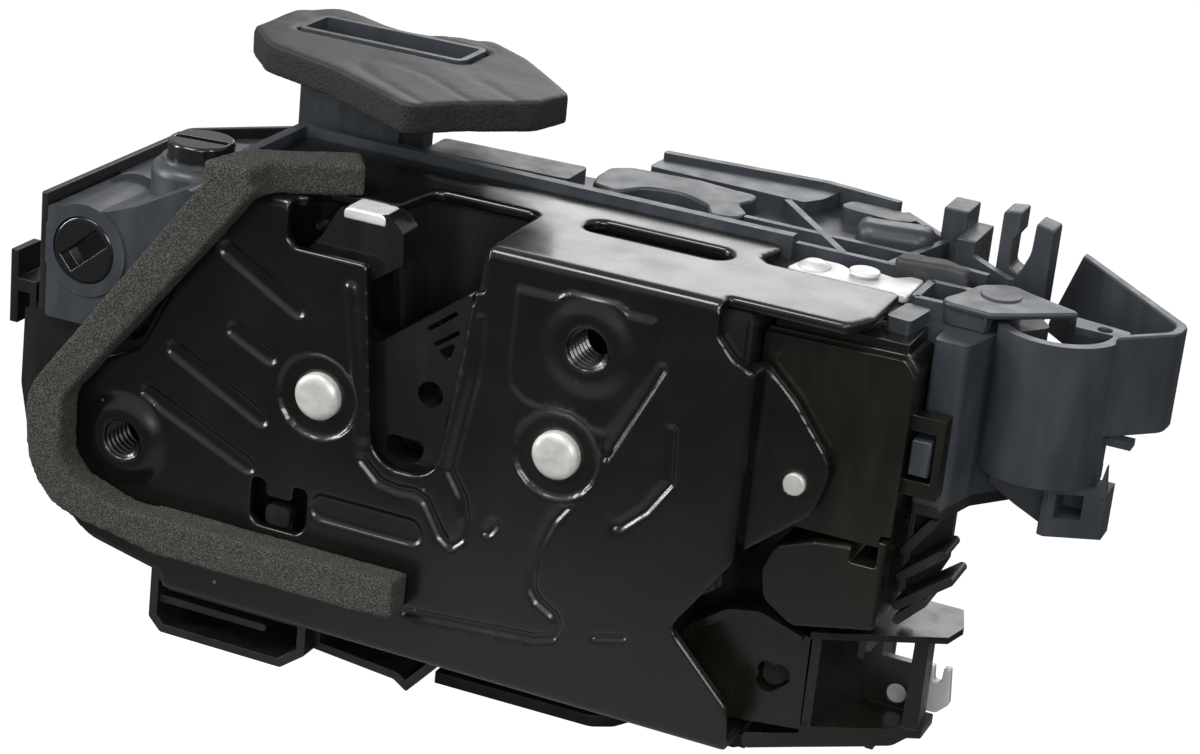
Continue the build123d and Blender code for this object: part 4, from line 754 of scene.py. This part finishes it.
def makeRivet(node):
    # lathed shank with a peened crown that is slightly uneven
    x, z = rivetHead["centres"][node]
    bm = bmesh.new()
    profile = (*rivetHead["crown"], (rivetHead["crown"][-1][0], rivetHead["back"]), (0, rivetHead["back"]))
    points = [bm.verts.new((radius * mm, y * mm, 0)) for radius, y in profile]
    edges = [bm.edges.new(pair) for pair in zip(points, points[1:])]
    bmesh.ops.spin(bm, geom=points + edges, cent=(0, 0, 0), axis=(0, 1, 0), angle=math.tau,
                   steps=rivetHead["steps"], use_merge=True)
    bmesh.ops.remove_doubles(bm, verts=bm.verts, dist=meshing["weld"] * mm)
    bmesh.ops.recalc_face_normals(bm, faces=bm.faces)
    crownEdges = [edge for edge in bm.edges if all(vert.co.y < 0 for vert in edge.verts)]
    bmesh.ops.subdivide_edges(bm, edges=crownEdges, cuts=1)
    for vert in bm.verts:
        if vert.co.y < rivetHead["lumpyBefore"] * mm:
            lump = noise.noise(vert.co * rivetHead["lumpScale"] + Vector((x, 0, z)))
            vert.co.y += rivetHead["lump"] * mm * lump
    bmesh.ops.translate(bm, verts=bm.verts, vec=(x * mm, 0, z * mm))
    for face in bm.faces:
        face.smooth = True
    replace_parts(giveMesh(node + "_turned", bm, "peenedSteel", bodyOfNode[node]), node)


for node in rivetHead["centres"]:
    makeRivet(node)
print("rivets turned")

# radii and pitch in mm
thread = {"tip": 3.0, "crest": 3.95, "flat": 0.1, "pitch": 1.25, "front": -0.9, "turns": 6, "steps": 32,
          "holes": ((0, 0), (-84.3, -37.1))}


def makeThread(name, x, z):
    # one V profile wound along the hole; its flanks face the screw
    bm = bmesh.new()
    tip, crest, flat = thread["tip"], thread["crest"], thread["flat"]
    pitch, steps = thread["pitch"], thread["steps"]
    corners = ((crest, -pitch / 2), (tip, -flat), (tip, flat), (crest, pitch / 2))
    points = [bm.verts.new((radius * mm, y * mm, 0)) for radius, y in corners]
    edges = [bm.edges.new(pair) for pair in zip(points, points[1:])]
    bmesh.ops.spin(bm, geom=points + edges, cent=(0, 0, 0), axis=(0, 1, 0), dvec=(0, pitch * mm / steps, 0),
                   angle=math.tau * thread["turns"], steps=steps * thread["turns"], use_merge=False)
    bmesh.ops.remove_doubles(bm, verts=bm.verts, dist=meshing["weld"] * mm)
    bmesh.ops.recalc_face_normals(bm, faces=bm.faces)
    bmesh.ops.translate(bm, verts=bm.verts, vec=(x * mm, thread["front"] * mm, z * mm))
    giveMesh(name, bm, "coatedSteel", "housing")


for number, (x, z) in enumerate(thread["holes"], 1):
    makeThread("screw_thread_%d" % number, x, z)
print("threads wound")

foamEasing = 4


def finishFoam(piece, node, material):
    finishRemeshed(piece, material)
    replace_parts(piece, node)


foamStrip = {"voxel": 0.55, "roughen": 0.16, "lumpScale": 160, "grainScale": 700, "grainShare": 0.6}


def makeFoamStrip():
    node = "seal_strip"
    strip = giveMesh(node + "_foam", copyOfNode(node), "cutFoam", bodyOfNode[node])
    remeshed(strip, foamStrip["voxel"], foamEasing)
    for vert in strip.data.vertices:
        lump = noise.noise(vert.co * foamStrip["lumpScale"])
        lump += foamStrip["grainShare"] * noise.noise(vert.co * foamStrip["grainScale"])
        vert.co += Vector(vert.normal) * lump * foamStrip["roughen"] * mm
    finishFoam(strip, node, "cutFoam")


makeFoamStrip()

# creases run across the pad, in its skin only
foamPad = {
    "voxel": 0.6, "roughen": 0.12, "lumpScale": 70, "lumpShare": 0.5, "grainScale": 600, "grainShare": 0.3,
    "skinDepth": 1.2, "crease": 0.5, "creaseGain": 1.4, "creaseWidth": 0.28, "across": (0.45, 0.9),
    "acrossScale": 110, "alongScale": 26, "layer": 0.3,
}


def makeFoamPad():
    node = "connector_gasket"
    pad = giveMesh(node + "_foam", copyOfNode(node), "foamWithSkin", bodyOfNode[node])
    remeshed(pad, foamPad["voxel"], foamEasing)
    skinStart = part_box(node)[1].z - foamPad["skinDepth"] * mm
    for vert in pad.data.vertices:
        across = vert.co.x * foamPad["across"][0] + vert.co.y * foamPad["across"][1]
        along = (vert.co.x - vert.co.y) * foamPad["alongScale"]
        wave = noise.noise(Vector((across * foamPad["acrossScale"], along, foamPad["layer"])))
        lump = foamPad["lumpShare"] * noise.noise(vert.co * foamPad["lumpScale"])
        lump += foamPad["grainShare"] * noise.noise(vert.co * foamPad["grainScale"])
        if vert.co.z > skinStart:
            groove = foamPad["creaseGain"] * max(0, foamPad["creaseWidth"] - abs(wave))
            lump -= groove * foamPad["crease"] / foamPad["roughen"]
        vert.co += Vector(vert.normal) * lump * foamPad["roughen"] * mm
    finishFoam(pad, node, "foamWithSkin")


makeFoamPad()
print("foam made")

# height in mm; near and far in metres from the middle; half is half the floor's width in metres
floorLook = {"height": -74.6, "half": 4, "colour": (0.42, 0.42, 0.42), "farColour": (0.06, 0.06, 0.06),
             "near": 0.075, "far": 0.15, "roughness": 0.9, "specular": 0.1, "lift": 0.95}


def makeFloor():
    # paler under the object than further out; the camera sees both lifted to the pale background
    bm = bmesh.new()
    bmesh.ops.create_grid(bm, x_segments=1, y_segments=1, size=floorLook["half"])
    bmesh.ops.translate(bm, verts=bm.verts, vec=(0, 0, floorLook["height"] * mm))
    mesh = bpy.data.meshes.new("floor")
    bm.to_mesh(mesh)
    bm.free()
    floor = bpy.data.objects.new("floor", mesh)
    bpy.context.scene.collection.objects.link(floor)
    material, tree, shader, coords = startMaterial("paleFloor", floorLook)
    reach = tree.nodes.new("ShaderNodeVectorMath")
    reach.operation = "LENGTH"
    tree.links.new(coords, reach.inputs[0])
    spread = remap(tree, reach.outputs["Value"], (floorLook["near"], floorLook["far"]))
    tone = mixColours(tree, spread, floorLook["colour"], floorLook["farColour"])
    tree.links.new(tone, shader.inputs["Base Color"])
    shader.inputs["Emission Color"].default_value = (1, 1, 1, 1)
    seen = tree.nodes.new("ShaderNodeLightPath").outputs["Is Camera Ray"]
    tree.links.new(remap(tree, seen, (0, 1), (0, floorLook["lift"])), shader.inputs["Emission Strength"])
    mesh.materials.append(material)


makeFloor()

# strength for light on the object, for the camera, and the share of the difference that mirrors show
worldLook = {"light": 0.34, "shown": 1.0, "mirrored": 0.3}


def makeWorld():
    world = bpy.data.worlds.new("studio")
    bpy.context.scene.world = world
    world.use_nodes = True
    tree = world.node_tree
    background = tree.nodes["Background"]
    rays = tree.nodes.new("ShaderNodeLightPath")
    seen = rays.outputs["Is Camera Ray"]
    for ray, share in (("Is Transmission Ray", 1.0), ("Is Glossy Ray", worldLook["mirrored"])):
        part = tree.nodes.new("ShaderNodeMath")
        part.operation = "MULTIPLY_ADD"
        part.inputs[1].default_value = share
        tree.links.new(rays.outputs[ray], part.inputs[0])
        tree.links.new(seen, part.inputs[2])
        seen = part.outputs[0]
    strength = remap(tree, seen, (0, 1), (worldLook["light"], worldLook["shown"]))
    tree.links.new(strength, background.inputs["Strength"])
    background.inputs["Color"].default_value = (1, 1, 1, 1)


makeWorld()

# name: place, size in metres, watts
lamps = {
    "backSoftbox": ((-0.10, 1.0, 0.43), (0.85, 0.42), 3.6),
    "topSoftbox": ((-0.33, -0.5, 0.78), (0.55, 0.25), 8),
    "leftSoftbox": ((-0.85, -0.35, 0.22), (0.12, 0.6), 7),
    "rightSoftbox": ((0.8, -0.35, 0.75), (0.14, 0.5), 4.5),
    "frontSoftbox": ((0.4, -0.85, 0.3), (0.4, 0.25), 4.5),
}
lampTarget = Vector((0, 0.02, 0))
for name, (place, size, power) in lamps.items():
    data = bpy.data.lights.new(name, "AREA")
    data.shape = "RECTANGLE"
    data.size, data.size_y = size
    data.energy = power
    lamp = bpy.data.objects.new(name, data)
    bpy.context.scene.collection.objects.link(lamp)
    lamp.location = place
    lamp.rotation_euler = (lampTarget - Vector(place)).to_track_quat("-Z", "Y").to_euler()

# lens and sensor in mm, place in metres; right, up and back are the camera's own axes
cameraView = {
    "lens": 88.41, "sensor": 36, "clipStart": 0.01, "place": (0.16092, -0.40704, 0.16512),
    "right": (0.91284, 0.39651, 0.09742), "up": (-0.22818, 0.29754, 0.92704),
    "back": (0.33860, -0.86847, 0.36209),
}
cameraData = bpy.data.cameras.new("camera")
cameraData.lens = cameraView["lens"]
cameraData.sensor_width = cameraView["sensor"]
cameraData.clip_start = cameraView["clipStart"]
camera = bpy.data.objects.new("camera", cameraData)
bpy.context.scene.collection.objects.link(camera)
turn = Matrix([cameraView[side] for side in ("right", "up", "back")]).transposed()
camera.matrix_world = Matrix.Translation(cameraView["place"]) @ turn.to_4x4()
bpy.context.scene.camera = camera
bpy.context.scene.view_settings.view_transform = "Standard"
print("stage set")
